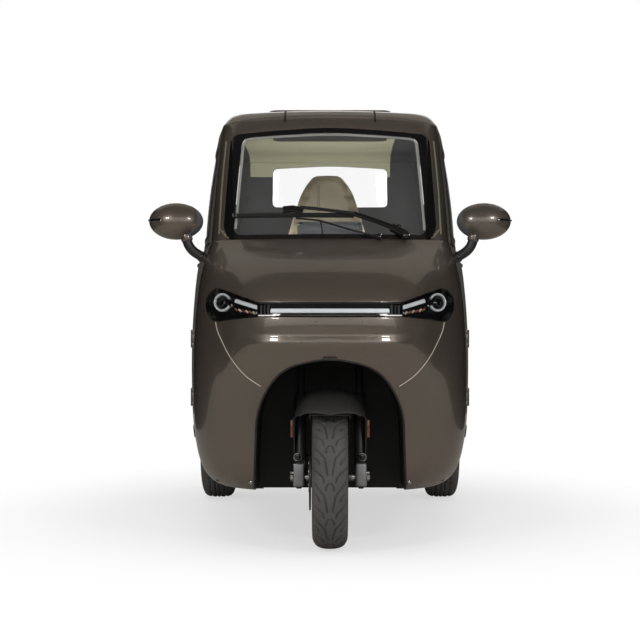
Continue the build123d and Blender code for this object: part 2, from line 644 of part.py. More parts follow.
# Rear axle with its motor, and the leaf springs that carry the frame on it
MOTOR_RADIUS = 88
with BuildPart() as rear_axle:
    add(rod((-AXLE_END_X, REAR_AXLE_Y, REAR_TYRE_RADIUS), (AXLE_END_X, REAR_AXLE_Y, REAR_TYRE_RADIUS),
            AXLE_TUBE_RADIUS))
    add(rod((-95, REAR_AXLE_Y, REAR_TYRE_RADIUS), (75, REAR_AXLE_Y, REAR_TYRE_RADIUS), MOTOR_RADIUS))
    add(rod((75, REAR_AXLE_Y, REAR_TYRE_RADIUS), (135, REAR_AXLE_Y, REAR_TYRE_RADIUS), 62))
    for side in (-1, 1):
        add(rod((side * (AXLE_END_X - STUB_LENGTH - 2), REAR_AXLE_Y, REAR_TYRE_RADIUS),
                (side * AXLE_END_X, REAR_AXLE_Y, REAR_TYRE_RADIUS), STUB_RADIUS + RUNNING_GAP), mode=Mode.SUBTRACT)
write(rear_axle, "rear_axle")

SPRING_HALF_LENGTH = 250
SPRING_END_Z = 400
SPRING_WIDTH = 50
SPRING_LEAF = 22
with BuildPart() as rear_springs:
    top_of_axle = REAR_TYRE_RADIUS + AXLE_TUBE_RADIUS
    for side in (-1, 1):
        x = side * RAIL_HALF_SPREAD
        with BuildSketch(Plane.YZ.offset(x - SPRING_WIDTH / 2)):
            with BuildLine():
                lower = ThreePointArc((REAR_AXLE_Y - SPRING_HALF_LENGTH, SPRING_END_Z), (REAR_AXLE_Y, top_of_axle),
                                      (REAR_AXLE_Y + SPRING_HALF_LENGTH, SPRING_END_Z))
                Line(lower @ 1, lower @ 1 + Vector(0, SPRING_LEAF))
                ThreePointArc((REAR_AXLE_Y + SPRING_HALF_LENGTH, SPRING_END_Z + SPRING_LEAF),
                              (REAR_AXLE_Y, top_of_axle + SPRING_LEAF),
                              (REAR_AXLE_Y - SPRING_HALF_LENGTH, SPRING_END_Z + SPRING_LEAF))
                Line(lower @ 0 + Vector(0, SPRING_LEAF), lower @ 0)
            make_face()
        extrude(amount=SPRING_WIDTH)
        for end in (-1, 1):
            station = WHEELBASE + end * SPRING_HALF_LENGTH
            add(block(x - SPRING_WIDTH / 2, x + SPRING_WIDTH / 2, station - 20, station + 20,
                      SPRING_END_Z - 5, REAR_FLOOR_Z - RAIL_HEIGHT))
write(rear_springs, "rear_springs")

# Steering: fork with its crown, stem and axle
SLIDER_TOP_S = 250
COLLAR_TOP_S = 275
COLLAR_RADIUS = 21
CROWN_HEIGHT = 24
STEM_TOP_S = HANDLEBAR_S - 12
LUG_RADIUS = 17
LUG_OUTER_X = FORK_HALF_SPREAD + FORK_SLIDER_RADIUS + 1
AXLE_END = 18
AXLE_HALF_LENGTH = LUG_OUTER_X + AXLE_END
with BuildPart() as steering_fork:
    for side in (-1, 1):
        x = side * FORK_HALF_SPREAD
        add(rod(on_steering(-24, x), on_steering(SLIDER_TOP_S, x), FORK_SLIDER_RADIUS))
        add(rod(on_steering(SLIDER_TOP_S, x), on_steering(COLLAR_TOP_S, x), COLLAR_RADIUS))
        add(rod(on_steering(COLLAR_TOP_S, x), on_steering(CROWN_S, x), FORK_TUBE_RADIUS))
        add(rod((x, FRONT_AXLE_Y, FRONT_TYRE_RADIUS), (side * LUG_OUTER_X, FRONT_AXLE_Y, FRONT_TYRE_RADIUS), LUG_RADIUS))
    with BuildSketch(Plane(origin=on_steering(CROWN_S), x_dir=(1, 0, 0),
                           z_dir=Vector(*on_steering(1)) - Vector(*on_steering(0)))):
        RectangleRounded(2 * FORK_HALF_SPREAD + 44, 50, 20)
    extrude(amount=CROWN_HEIGHT)
    add(rod(on_steering(CROWN_S), on_steering(STEM_TOP_S), STEM_RADIUS))
    add(rod((-AXLE_HALF_LENGTH, FRONT_AXLE_Y, FRONT_TYRE_RADIUS), (AXLE_HALF_LENGTH, FRONT_AXLE_Y, FRONT_TYRE_RADIUS),
            AXLE_RADIUS))
    add(block(-FORK_HALF_SPREAD - 6, DISC_X - 14, 0, 70, 262, 292))
    add(block(DISC_X - 16, DISC_X + 18, 60, DISC_RADIUS + 18, 236, 300))
    add(block(DISC_X - 5, DISC_X + DISC_SHEET + 5, 55, DISC_RADIUS + 6, 230, 310), mode=Mode.SUBTRACT)
write(steering_fork, "steering_fork")

BAR_RADIUS = 11
GRIP_RADIUS = 16
BAR_PATH = [(0, 0), (110, 15), (190, 60), (280, 115)]
with BuildPart() as handlebar:
    add(rod(on_steering(STEM_TOP_S), on_steering(HANDLEBAR_S + 18), 24))
    for side in (-1, 1):
        for (x0, back0), (x1, back1) in zip(BAR_PATH, BAR_PATH[1:]):
            radius = GRIP_RADIUS if x1 == BAR_PATH[-1][0] else BAR_RADIUS
            add(rod(on_steering(HANDLEBAR_S, side * x0, back0), on_steering(HANDLEBAR_S, side * x1, back1), radius))
            with Locations(on_steering(HANDLEBAR_S, side * x1, back1)):
                Sphere(radius)
write(handlebar, "handlebar")

# Front mudguard: a hood over the tyre with wider cheeks in front of the fork, carried by a stay on each side
GUARD_RADIUS = FRONT_TYRE_RADIUS + 14
GUARD_SHEET = 4
GUARD_HALF = 67
GUARD_FRONT = 34
GUARD_REAR = 70
CHEEK_FRONT = 36
CHEEK_REAR = 8
CHEEK_HALF = 121


def guard_band(points, forward, backward):
    """Part of a turned band over the front wheel, between two angles from straight up."""
    plane = Plane(origin=(0, FRONT_AXLE_Y, FRONT_TYRE_RADIUS), x_dir=(1, 0, 0), z_dir=(0, -1, 0))
    with BuildPart() as band:
        with BuildSketch(plane.rotated((forward, 0, 0))):
            with BuildLine():
                Polyline(*points, close=True)
            make_face()
        revolve(axis=Axis((0, FRONT_AXLE_Y, FRONT_TYRE_RADIUS), (-1, 0, 0)), revolution_arc=forward + backward)
    return band.part


with BuildPart() as front_mudguard:
    r0, r1 = GUARD_RADIUS, GUARD_RADIUS + GUARD_SHEET
    add(guard_band([(-GUARD_HALF, r0), (GUARD_HALF, r0), (GUARD_HALF, r1), (-GUARD_HALF, r1)],
                   GUARD_FRONT, GUARD_REAR))
    cheek = [(60, 286), (98, 256), (CHEEK_HALF, 200), (CHEEK_HALF - 4, 200), (94, 252), (56, 281)]
    add(guard_band([(0, 294)] + cheek + [(0, 289)] + [(-x, r) for x, r in reversed(cheek)],
                   CHEEK_FRONT, CHEEK_REAR))
    for side in (-1, 1):
        x0, x1 = sorted((side * (GUARD_HALF - 4), side * GUARD_HALF))
        add(guard_band([(x0, r0), (x1, r0), (x1, 280), (x0, 280)], CHEEK_FRONT, CHEEK_REAR))
        stay = sorted((side * (FORK_HALF_SPREAD + FORK_SLIDER_RADIUS + RUNNING_GAP), side * CHEEK_HALF))
        add(block(*stay, 16, 36, 300, 437))
write(front_mudguard, "front_mudguard")

# Cabin furniture
SEAT_FRONT = 720
SEAT_REAR = 1140
SEAT_HALF = 235
SEAT_BASE_TOP_Z = 560
CUSHION = 90
with BuildPart() as seat_bases:
    add(block(-SEAT_HALF + 10, SEAT_HALF - 10, SEAT_FRONT + 20, SEAT_REAR, FLOOR_Z + FLOOR_SHEET, SEAT_BASE_TOP_Z))
    add(block(-SEAT_HALF + 20, SEAT_HALF - 20, SEAT_FRONT + 30, SEAT_REAR - 10,
              FLOOR_Z + FLOOR_SHEET, SEAT_BASE_TOP_Z - 10), mode=Mode.SUBTRACT)
    add(block(-340, 340, STEP_STATION + 30, 1700, REAR_FLOOR_Z + FLOOR_SHEET, 600))
write(seat_bases, "seat_bases")

with BuildPart() as battery:
    add(block(-190, 190, SEAT_FRONT + 40, SEAT_REAR - 20, FLOOR_Z + FLOOR_SHEET, FLOOR_Z + FLOOR_SHEET + 220))
write(battery, "battery")

with BuildPart() as driver_seat_cushion:
    add(block(-SEAT_HALF, SEAT_HALF, SEAT_FRONT, SEAT_REAR + 20, SEAT_BASE_TOP_Z, SEAT_BASE_TOP_Z + CUSHION))
    fillet(driver_seat_cushion.edges(), 30)
write(driver_seat_cushion, "driver_seat_cushion")

BACK_OUTLINE = mirrored([(62, 1369), (106, 1304), (146, 1190), (227, 900), (230, 658)])
BACK_X = -12
BACK_LEAN = 7
BACK_THICKNESS = 85
with BuildPart() as driver_seat_back:
    corners = [Vector(x, z) for x, z in BACK_OUTLINE]
    lean = Plane(origin=(BACK_X, FRONT_AXLE_Y + SEAT_REAR - 110, 0), x_dir=(1, 0, 0), z_dir=(0, -1, 0))
    with BuildSketch(lean.rotated((-BACK_LEAN, 0, 0))):
        with BuildLine():
            FilletPolyline(*corners, radius=soft_radii(corners, [0.35] * len(corners)), close=True)
        make_face()
    extrude(amount=-BACK_THICKNESS)
write(driver_seat_back, "driver_seat_back")

BENCH_HALF = 360
with BuildPart() as rear_bench_cushion:
    add(block(-BENCH_HALF, BENCH_HALF, STEP_STATION + 20, 1720, 600, 600 + CUSHION))
    fillet(rear_bench_cushion.edges(), 30)
write(rear_bench_cushion, "rear_bench_cushion")

with BuildPart() as rear_bench_back:
    add(block(-BENCH_HALF, BENCH_HALF, 1724, 1794, REAR_FLOOR_Z + FLOOR_SHEET, 1010))
    fillet(rear_bench_back.edges().group_by(Axis.Z)[-1], 30)
write(rear_bench_back, "rear_bench_back")

DASH_REAR = 215
with BuildPart() as dashboard:
    add(inner_lower)
    add(block(-FAR, FAR, 60, DASH_REAR, 905, 1015), mode=Mode.INTERSECT)
write(dashboard, "dashboard")

# Mirrors and wiper
MIRROR_X = 534
MIRROR_Z = 1098
MIRROR_STATION = 235
MIRROR_HALF_WIDTH = 94
MIRROR_HALF_HEIGHT = 64
MIRROR_DEPTHS = [0, 20, 38, 51, 59, 62]
STALK_RADIUS = 12
for side, name in ((1, "left"), (-1, "right")):
    centre = Vector(side * MIRROR_X, FRONT_AXLE_Y + MIRROR_STATION, MIRROR_Z)
    with BuildPart() as mirror:
        for depth in MIRROR_DEPTHS:
            share = sqrt(1 - (depth / MIRROR_HALF_HEIGHT) ** 2)
            with BuildSketch(Plane(origin=centre - Vector(0, depth, 0), x_dir=(1, 0, 0), z_dir=(0, -1, 0))):
                Ellipse(MIRROR_HALF_WIDTH * share, MIRROR_HALF_HEIGHT * share)
        loft()
        neck = centre + Vector(-side * 34, -16, -20)
        knee = centre + Vector(-side * 50, -12, -86)
        shoulder = Vector(side * 438, centre.Y - 10, 985)
        foot = Vector(side * 390, centre.Y - 10, 965)
        for start, end in ((neck, knee), (knee, shoulder), (shoulder, foot)):
            add(rod(tuple(start), tuple(end), STALK_RADIUS))
        with Locations(knee, shoulder):
            Sphere(STALK_RADIUS)
        add(outer_lower, mode=Mode.SUBTRACT)
    write(mirror, f"mirror_{name}")

WIPER_Z = 1105
with BuildPart() as wiper:
    for (x0, z0), (x1, z1), radius in (((-327, WIPER_Z - 6), (-120, WIPER_Z), 5), ((-120, WIPER_Z), (77, WIPER_Z - 8), 5),
                                       ((-123, WIPER_Z + 8), (242, 1045), 6)):
        stations = [88 + (z - BELT_Z) * 0.55 + 0.00035 * x * x for x, z in ((x0, z0), (x1, z1))]
        add(rod((x0, FRONT_AXLE_Y + stations[0] - 16, z0), (x1, FRONT_AXLE_Y + stations[1] - 16, z1), radius))
    add(rod((242, FRONT_AXLE_Y + 60, 1045), (242, FRONT_AXLE_Y + 140, 1045), 14))
    add(outer_cabin, mode=Mode.SUBTRACT)
write(wiper, "wiper")
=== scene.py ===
# %% [markdown]
# # An enclosed electric tricycle
#
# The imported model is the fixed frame: panels, wheels, fork and seats in metres, where they belong.
# This lesson gives each surface its finish, and swaps the plain solids for modelled pieces where the
# real part has more form than its solid. Everything is placed from the frame, so nothing is fitted by eye.

# %% Load the frame
import json
import math
from contextlib import contextmanager
from math import cos, pi, radians, sin

import bmesh
import bpy
import numpy as np
from mathutils import Matrix, Vector
from mathutils.bvhtree import BVHTree

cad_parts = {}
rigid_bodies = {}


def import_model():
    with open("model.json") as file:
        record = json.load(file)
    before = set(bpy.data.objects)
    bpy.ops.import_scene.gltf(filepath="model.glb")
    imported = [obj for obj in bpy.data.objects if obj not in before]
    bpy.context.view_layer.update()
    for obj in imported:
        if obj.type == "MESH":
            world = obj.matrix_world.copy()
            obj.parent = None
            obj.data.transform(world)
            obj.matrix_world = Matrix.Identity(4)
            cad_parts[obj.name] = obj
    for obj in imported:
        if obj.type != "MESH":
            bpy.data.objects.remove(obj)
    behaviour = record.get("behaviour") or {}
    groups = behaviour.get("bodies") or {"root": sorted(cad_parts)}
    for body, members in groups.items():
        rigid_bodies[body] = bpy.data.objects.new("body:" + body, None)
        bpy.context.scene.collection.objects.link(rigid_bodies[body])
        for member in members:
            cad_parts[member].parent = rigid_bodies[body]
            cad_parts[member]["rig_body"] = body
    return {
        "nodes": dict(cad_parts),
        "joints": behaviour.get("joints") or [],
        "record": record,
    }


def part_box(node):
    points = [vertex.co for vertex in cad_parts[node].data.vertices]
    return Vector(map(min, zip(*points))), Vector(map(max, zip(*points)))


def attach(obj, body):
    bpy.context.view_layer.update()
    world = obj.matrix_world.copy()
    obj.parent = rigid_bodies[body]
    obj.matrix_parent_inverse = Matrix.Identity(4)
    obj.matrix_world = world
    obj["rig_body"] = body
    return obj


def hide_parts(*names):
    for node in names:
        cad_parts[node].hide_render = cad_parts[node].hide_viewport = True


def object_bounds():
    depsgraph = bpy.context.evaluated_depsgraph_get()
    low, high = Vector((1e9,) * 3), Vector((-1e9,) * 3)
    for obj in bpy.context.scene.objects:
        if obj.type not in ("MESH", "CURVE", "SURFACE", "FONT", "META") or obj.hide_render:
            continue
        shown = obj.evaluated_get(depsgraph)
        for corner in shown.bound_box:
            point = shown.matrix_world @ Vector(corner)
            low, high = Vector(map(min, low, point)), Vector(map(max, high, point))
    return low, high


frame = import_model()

MM = 0.001
scene = bpy.context.scene
nodes = frame["nodes"]
cad_box = [list(corner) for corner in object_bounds()]
print("frame nodes", len(nodes), "box", cad_box)

# %% [markdown]
# ## Places that the frame gives
#
# The wheels' centres come from the frame's own tyres, and the fork's rake from its steering joint. Stations
# along the body count back from the front axle, as they would on a vehicle's drawing.

# %% Read the places
low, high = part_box("front_tyre")
FRONT_HUB = (low + high) / 2
REAR_HUB = sum(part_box("rear_tyre_left"), Vector()) / 2
steer_axis = next(joint["axis"] for joint in frame["joints"] if joint["name"] == "steering_turn")
RAKE = math.atan2(steer_axis[1], steer_axis[2])


def mm(x, y, z):
    """A vector from millimetres."""
    return Vector((x, y, z)) * MM


def place(x, station, z):
    """A point from millimetres across, back from the front axle, and up."""
    return Vector((x * MM, FRONT_HUB.y + station * MM, z * MM))


print("front hub", tuple(round(v, 4) for v in FRONT_HUB), "rake", round(math.degrees(RAKE), 2), "degrees")

# %% [markdown]
# ## Camera
#
# The photograph was taken with a long lens, level, from a bit over five metres in front of the wheel.
# A level camera keeps uprights upright, so the frame is slid with the lens shift and not tilted.
# The focal length and the principal point are in pixels of the 640 pixel image.

# %% Camera
IMAGE = 640
FOCAL_PIXELS = 1600
PRINCIPAL_PIXEL = (330, 324)
CAMERA_AHEAD = 5.3
CAMERA_HEIGHT = 0.743
camera_data = bpy.data.cameras.new("camera")
camera_data.sensor_width = 36
camera_data.lens = 36 * FOCAL_PIXELS / IMAGE
camera_data.shift_x = (IMAGE / 2 - PRINCIPAL_PIXEL[0]) / IMAGE
camera_data.shift_y = (PRINCIPAL_PIXEL[1] - IMAGE / 2) / IMAGE
camera = bpy.data.objects.new("camera", camera_data)
camera.location = (0, FRONT_HUB.y - CAMERA_AHEAD, CAMERA_HEIGHT)
camera.rotation_euler = (pi / 2, 0, 0)
scene.collection.objects.link(camera)
scene.camera = camera
print("lens", round(camera_data.lens, 1), "mm")

# %% [markdown]
# ## Helpers for colours and nodes
#
# Colours are written as sRGB hex values, as in a paint chart, and turned to linear light by one function.
# One small function adds a shader node, sets its options and links its inputs.

# %% Colour and node helpers
def colour(hex_value):
    """Linear RGBA from an sRGB hex value such as '6A5F55'."""
    channels = [int(hex_value[i:i + 2], 16) / 255 for i in (0, 2, 4)]
    return tuple(c / 12.92 if c <= 0.04045 else ((c + 0.055) / 1.055) ** 2.4 for c in channels) + (1,)


def add_node(tree, kind, options=None, **inputs):
    """Adds a node, sets its options, and sets or links its inputs by name; spaces are underscores."""
    made = tree.nodes.new(kind)
    for key, value in (options or {}).items():
        setattr(made, key, value)
    for key, value in inputs.items():
        numbered = key[0] == "i" and key[1:].isdigit()
        socket = made.inputs[int(key[1:]) if numbered else key.replace("_", " ")]
        if isinstance(value, bpy.types.NodeSocket):
            tree.links.new(value, socket)
        else:
            socket.default_value = value
    return made


def new_material(name, **inputs):
    """A material with one Principled shader, whose plain inputs are set on its own sockets."""
    material = bpy.data.materials.new(name)
    material.use_nodes = True
    tree = material.node_tree
    shader = tree.nodes["Principled BSDF"]
    for key, value in inputs.items():
        shader.inputs[key.replace("_", " ")].default_value = value
    return material, tree, shader


def object_coords(tree):
    return add_node(tree, "ShaderNodeTexCoord").outputs["Object"]


def ramp(tree, factor, stops):
    """A colour ramp between stops of (position, hex colour)."""
    made = add_node(tree, "ShaderNodeValToRGB", Fac=factor)
    elements = made.color_ramp.elements
    while len(elements) < len(stops):
        elements.new(0.5)
    for element, (position, hex_value) in zip(elements, stops):
        element.position = position
        element.color = colour(hex_value)
    return made.outputs["Color"]


print("mid paint in linear light", [round(c, 3) for c in colour("685F57")[:3]])

# %% [markdown]
# ## Paint
#
# The body has a two-layer automotive finish: a brown-grey base coat full of aluminium flake, and a glossy
# clear coat over it. The base is rough and half metallic, so it glows where light falls square on it and
# goes dark at its edges. A fine noise of about a millimetre stands for the flake; real flake is far finer
# and wouldn't show. Faces that look into the cabin get the dark lining instead, told by their normal.

# %% Paint and linings
FLAKE_MM = 1.2


def inward_mask(tree):
    """1 where a face looks towards the cabin's middle line, from its normal and its place."""
    coords = object_coords(tree)
    shift = add_node(tree, "ShaderNodeVectorMath", {"operation": "SUBTRACT"}, i0=coords, i1=(0, 0.1, 0.9))
    squash = add_node(tree, "ShaderNodeVectorMath", {"operation": "MULTIPLY"}, i0=shift.outputs[0], i1=(1, 0.5, 0.6))
    normal = add_node(tree, "ShaderNodeNewGeometry").outputs["Normal"]
    dot = add_node(tree, "ShaderNodeVectorMath", {"operation": "DOT_PRODUCT"}, i0=normal, i1=squash.outputs[0])
    return add_node(tree, "ShaderNodeMath", {"operation": "LESS_THAN"}, i0=dot.outputs["Value"], i1=-0.02).outputs[0]


def lining_colour(tree, coords):
    """Dark moulded lining, and beige cloth high up behind the hatch, over the rear window."""
    parts = add_node(tree, "ShaderNodeSeparateXYZ", Vector=coords)
    behind = add_node(tree, "ShaderNodeMath", {"operation": "GREATER_THAN"}, i0=parts.outputs["Y"], i1=0.33)
    high = add_node(tree, "ShaderNodeMath", {"operation": "GREATER_THAN"}, i0=parts.outputs["Z"], i1=1.398)
    middle = add_node(tree, "ShaderNodeMath", {"operation": "COMPARE"}, i0=parts.outputs["X"], i1=-0.043, i2=0.31)
    first = add_node(tree, "ShaderNodeMath", {"operation": "MULTIPLY"}, i0=behind.outputs[0], i1=high.outputs[0])
    both = add_node(tree, "ShaderNodeMath", {"operation": "MULTIPLY"}, i0=first.outputs[0], i1=middle.outputs[0])
    return add_node(tree, "ShaderNodeMixRGB", Fac=both.outputs[0], Color1=colour("4A4A4B"),
                    Color2=colour("B4B498")).outputs["Color"]


def paint(name):
    material, tree, shader = new_material(name, Metallic=0.7, Roughness=0.36, Coat_Weight=1.0, Coat_Roughness=0.03,
                                          Coat_IOR=1.5)
    coords = object_coords(tree)
    flake = add_node(tree, "ShaderNodeTexNoise", Vector=coords, Scale=1 / (FLAKE_MM * MM), Detail=2.0)
    broad = add_node(tree, "ShaderNodeTexNoise", Vector=coords, Scale=3.0, Detail=2.0)
    mixed = add_node(tree, "ShaderNodeMath", {"operation": "MULTIPLY_ADD"}, i0=flake.outputs["Fac"], i1=0.8,
                     i2=0.1)
    base = ramp(tree, mixed.outputs[0], [(0.25, "554C44"), (0.75, "766C62")])
    tint = add_node(tree, "ShaderNodeMixRGB", {"blend_type": "MULTIPLY"}, Fac=0.12, Color1=base,
                    Color2=broad.outputs["Color"])
    inward = inward_mask(tree)
    inner = add_node(tree, "ShaderNodeMixRGB", Fac=inward, Color1=tint.outputs["Color"],
                     Color2=lining_colour(tree, coords))
    for socket, outside, lined in (("Metallic", 0.7, 0.0), ("Roughness", 0.36, 0.75), ("Coat Weight", 1.0, 0.0)):
        value = add_node(tree, "ShaderNodeMapRange", Value=inward, To_Min=outside, To_Max=lined)
        tree.links.new(value.outputs["Result"], shader.inputs[socket])
    tree.links.new(inner.outputs["Color"], shader.inputs["Base Color"])
    return material


body_paint = paint("metallic_brown_grey_paint")
print("paint", body_paint.name)

# %% [markdown]
# ## Mouldings, rubber and metals
#
# Trim is ABS: gloss black where it meets the glass, grained black low down. Grain is a fine cell bump about
# a millimetre across. Rubber is rougher than plastic and a little lighter than black. Steel parts of the
# fork are painted black above and bare bright metal at the clamps.

# %% Plain finishes
def grained(name, hex_dark, hex_light, rough, grain_mm=1.5, depth=0.25, **more):
    """A moulded or cast finish: two close tones, broken gloss, and a fine grain in the bump."""
    material, tree, shader = new_material(name, **more)
    coords = object_coords(tree)
    patch = add_node(tree, "ShaderNodeTexNoise", Vector=coords, Scale=9.0, Detail=4.0)
    tree.links.new(ramp(tree, patch.outputs["Fac"], [(0.3, hex_dark), (0.7, hex_light)]),
                   shader.inputs["Base Color"])
    gloss = add_node(tree, "ShaderNodeMapRange", Value=patch.outputs["Fac"], To_Min=rough - 0.06,
                     To_Max=rough + 0.06)
    tree.links.new(gloss.outputs["Result"], shader.inputs["Roughness"])
    grain = add_node(tree, "ShaderNodeTexVoronoi", Vector=coords, Scale=1 / (grain_mm * MM))
    bump = add_node(tree, "ShaderNodeBump", Height=grain.outputs["Distance"], Strength=depth,
                    Distance=0.3 * MM)
    tree.links.new(bump.outputs["Normal"], shader.inputs["Normal"])
    return material


gloss_black = grained("gloss_black_abs", "0B0B0C", "101011", 0.1, depth=0.02, Coat_Weight=0.5)
satin_black = grained("satin_black_abs", "161616", "1E1E1E", 0.42)
liner_black = grained("moulded_black_liner", "0D0D0D", "151515", 0.6, grain_mm=2.5)
frame_black = grained("black_powder_coat", "141414", "1C1C1C", 0.45, grain_mm=1.0)
floor_lining = grained("grained_floor_lining", "2A2A2B", "343435", 0.7, grain_mm=3.0)
dark_lining = grained("dark_grey_interior_abs", "303134", "3A3B3E", 0.55, grain_mm=2.0)
tyre_rubber = grained("tyre_rubber", "3C3B3A", "4A4948", 0.66, grain_mm=1.2, depth=0.35)
spring_paint = grained("painted_spring_steel", "151515", "202020", 0.5)
cast_black = grained("painted_axle_casting", "1A1A1B", "242425", 0.6, grain_mm=2.5, depth=0.5)
alloy = grained("machined_alloy", "8E8F92", "A3A4A7", 0.3, grain_mm=0.8, depth=0.08, Metallic=1.0)
bare_steel = grained("zinc_plated_steel", "A7A8A8", "C2C2C0", 0.28, grain_mm=0.9, depth=0.1, Metallic=1.0)
battery_case = grained("battery_case", "18191B", "222325", 0.5)
seat_base = grained("beige_seat_leather", "7F7862", "8C8570", 0.48, grain_mm=2.2, depth=0.5)
print("plain finishes", len(bpy.data.materials))

# %% [markdown]
# ## Glass
#
# The windows are toughened soda-lime glass. A thin clear sheet lets nearly all light straight through, and
# mirrors a little of it, more at a glancing angle. So the shader is a mirror whose alpha follows Fresnel:
# almost nothing when seen square on, and a clean reflection near the edges of the body.

# %% Glass
def clear_glass(name, tint, least=0.02, most=0.7):
    material, tree, shader = new_material(name, Metallic=1.0, Roughness=0.02)
    shader.inputs["Base Color"].default_value = colour(tint)
    facing = add_node(tree, "ShaderNodeLayerWeight", Blend=0.5)
    glancing = add_node(tree, "ShaderNodeMath", {"operation": "POWER"}, i0=facing.outputs["Facing"], i1=5.0)
    share = add_node(tree, "ShaderNodeMapRange", Value=glancing.outputs[0], To_Min=least, To_Max=most)
    tree.links.new(share.outputs["Result"], shader.inputs["Alpha"])
    return material


window_glass = clear_glass("toughened_window_glass", "DDE4E6")
lens_cover = clear_glass("clear_lamp_cover", "DDE4E6", least=0.04)
red_lens = grained("red_lamp_lens", "7A0C0A", "94100C", 0.12, depth=0.05, Coat_Weight=1.0)
lamp_black = grained("lamp_housing_black", "0A0A0B", "111112", 0.12, depth=0.02, Coat_Weight=1.0)
print("glass", window_glass.name)

# %% [markdown]
# ## Dress the frame's own nodes
#
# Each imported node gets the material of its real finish. Nodes that a modelled piece replaces later keep
# theirs too, so that a new piece can take its finish from the node it stands for.

# %% Finish of every node
finish_of = {
    "body_paint": body_paint,
    "gloss_black": gloss_black,
    "trim_black": satin_black,
    "liner_black": liner_black,
    "frame_black": frame_black,
    "floor_grey": floor_lining,
    "interior_grey": dark_lining,
    "seat_leather": seat_base,
    "lamp_lens": lamp_black,
    "tail_lens": red_lens,
    "glass": window_glass,
    "battery_black": battery_case,
    "axle_black": cast_black,
    "spring_steel": spring_paint,
    "fork_metal": frame_black,
    "alloy": alloy,
    "tyre": tyre_rubber,
}
slot_of = {part["node"]: part["material_slot"] for part in frame["record"]["subparts"]}


def dress(node, material):
    piece = nodes[node]
    if not piece.material_slots:
        piece.data.materials.append(material)
    for slot in piece.material_slots:
        slot.material = material


for node, slot in slot_of.items():
    dress(node, finish_of[slot])
print("triangles in the frame", sum(len(piece.data.polygons) for piece in nodes.values()))

# %% [markdown]
# ## Panels
#
# A pressed panel has soft edges, and the light catches them along every joint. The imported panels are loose
# triangles with hard corners, so each is copied, its doubles merged, its corners found by angle and rolled
# over by a small bevel. Two rolled edges side by side read as a real panel joint.

# %% Panels with rolled edges
EDGE_ROLL_MM = 2.0
CORNER_ANGLE = radians(38)


@contextmanager
def editing(mesh):
    """Opens a mesh as a BMesh and writes it back."""
    shape = bmesh.new()
    shape.from_mesh(mesh)
    yield shape
    shape.to_mesh(mesh)
    shape.free()


def add_object(name, data):
    made = bpy.data.objects.new(name, data)
    scene.collection.objects.link(made)
    return made


def evaluated_mesh(piece):
    return bpy.data.meshes.new_from_object(piece.evaluated_get(bpy.context.evaluated_depsgraph_get()))


def applied(piece):
    """The piece with its modifiers made part of its mesh."""
    ready = evaluated_mesh(piece)
    piece.modifiers.clear()
    piece.data = ready
    return piece


def merged_copy(node, name):
    mesh = nodes[node].data.copy()
    mesh.name = name
    with editing(mesh) as shape:
        bmesh.ops.remove_doubles(shape, verts=shape.verts, dist=0.02 * MM)
    return add_object(name, mesh)


def rolled_panel(node):
    panel = merged_copy(node, f"{node}_panel")
    bevel = panel.modifiers.new("rolled_edge", "BEVEL")
    bevel.width = EDGE_ROLL_MM * MM
    bevel.segments = 2
    bevel.limit_method = "ANGLE"
    bevel.angle_limit = CORNER_ANGLE
    bevel.use_clamp_overlap = True
    bevel.harden_normals = False
    panel = applied(panel)
    panel.data.shade_smooth()
    panel.data.set_sharp_from_angle(angle=CORNER_ANGLE)
    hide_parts(node)
    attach(panel, nodes[node]["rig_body"])
    return panel


painted = [node for node, slot in slot_of.items() if slot == "body_paint" and not node.startswith("mirror")]
panels = {node: rolled_panel(node) for node in painted}
print("panels", len(panels), "triangles", sum(len(p.data.polygons) for p in panels.values()))

# %% [markdown]
# ## Helpers for modelled pieces
#
# A piece is a mesh at the origin with its place in its vertices. One helper hands it to the frame: which
# body carries it, and which node it stands for.

# %% Piece helpers
def new_piece(name, points, faces, material):
    mesh = bpy.data.meshes.new(name)
    mesh.from_pydata([tuple(point) for point in points], [], faces)
    mesh.validate()
    mesh.materials.append(material)
    return add_object(name, mesh)


def tidy_normals(piece, merge=0.01 * MM):
    with editing(piece.data) as shape:
        bmesh.ops.remove_doubles(shape, verts=shape.verts, dist=merge)
        bmesh.ops.recalc_face_normals(shape, faces=shape.faces)
    return piece


def smooth(piece, angle=40):
    piece.data.shade_smooth()
    piece.data.set_sharp_from_angle(angle=radians(angle))
    return piece


def from_shape(name, shape, material):
    mesh = bpy.data.meshes.new(name)
    shape.to_mesh(mesh)
    shape.free()
    mesh.materials.append(material)
    return smooth(add_object(name, mesh))


def join(name, pieces):
    """One mesh from several, with their materials kept."""
    mesh = bpy.data.meshes.new(name)
    with editing(mesh) as shape:
        for piece in pieces:
            index = {}
            for slot, material in enumerate(piece.data.materials):
                if material.name not in mesh.materials:
                    mesh.materials.append(material)
                index[slot] = list(mesh.materials).index(material)
            start = len(shape.faces)
            shape.from_mesh(piece.data)
            shape.faces.ensure_lookup_table()
            for face in shape.faces[start:]:
                face.material_index = index.get(face.material_index, 0)
    for piece in pieces:
        bpy.data.objects.remove(piece)
    return add_object(name, mesh)


def hand_over(piece, body, slot, *stands_for):
    """The piece rides on its body, and may stand for nodes of the frame; its slot is not used."""
    if stands_for:
        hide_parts(*stands_for)
    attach(piece, body)
    return piece


def turned(name, profile, centre, steps, material, closed=True):
    """A form turned about the wheel axis (X) from (across, radius) points in millimetres."""
    points, faces, size = [], [], len(profile)
    for i in range(steps):
        angle = 2 * pi * i / steps
        points += [centre + mm(across, -radius * cos(angle), radius * sin(angle)) for across, radius in profile]
        ring, after = i * size, ((i + 1) % steps) * size
        for j in range(size if closed else size - 1):
            k = (j + 1) % size
            faces.append((ring + j, ring + k, after + k, after + j))
    return tidy_normals(new_piece(name, points, faces, material))


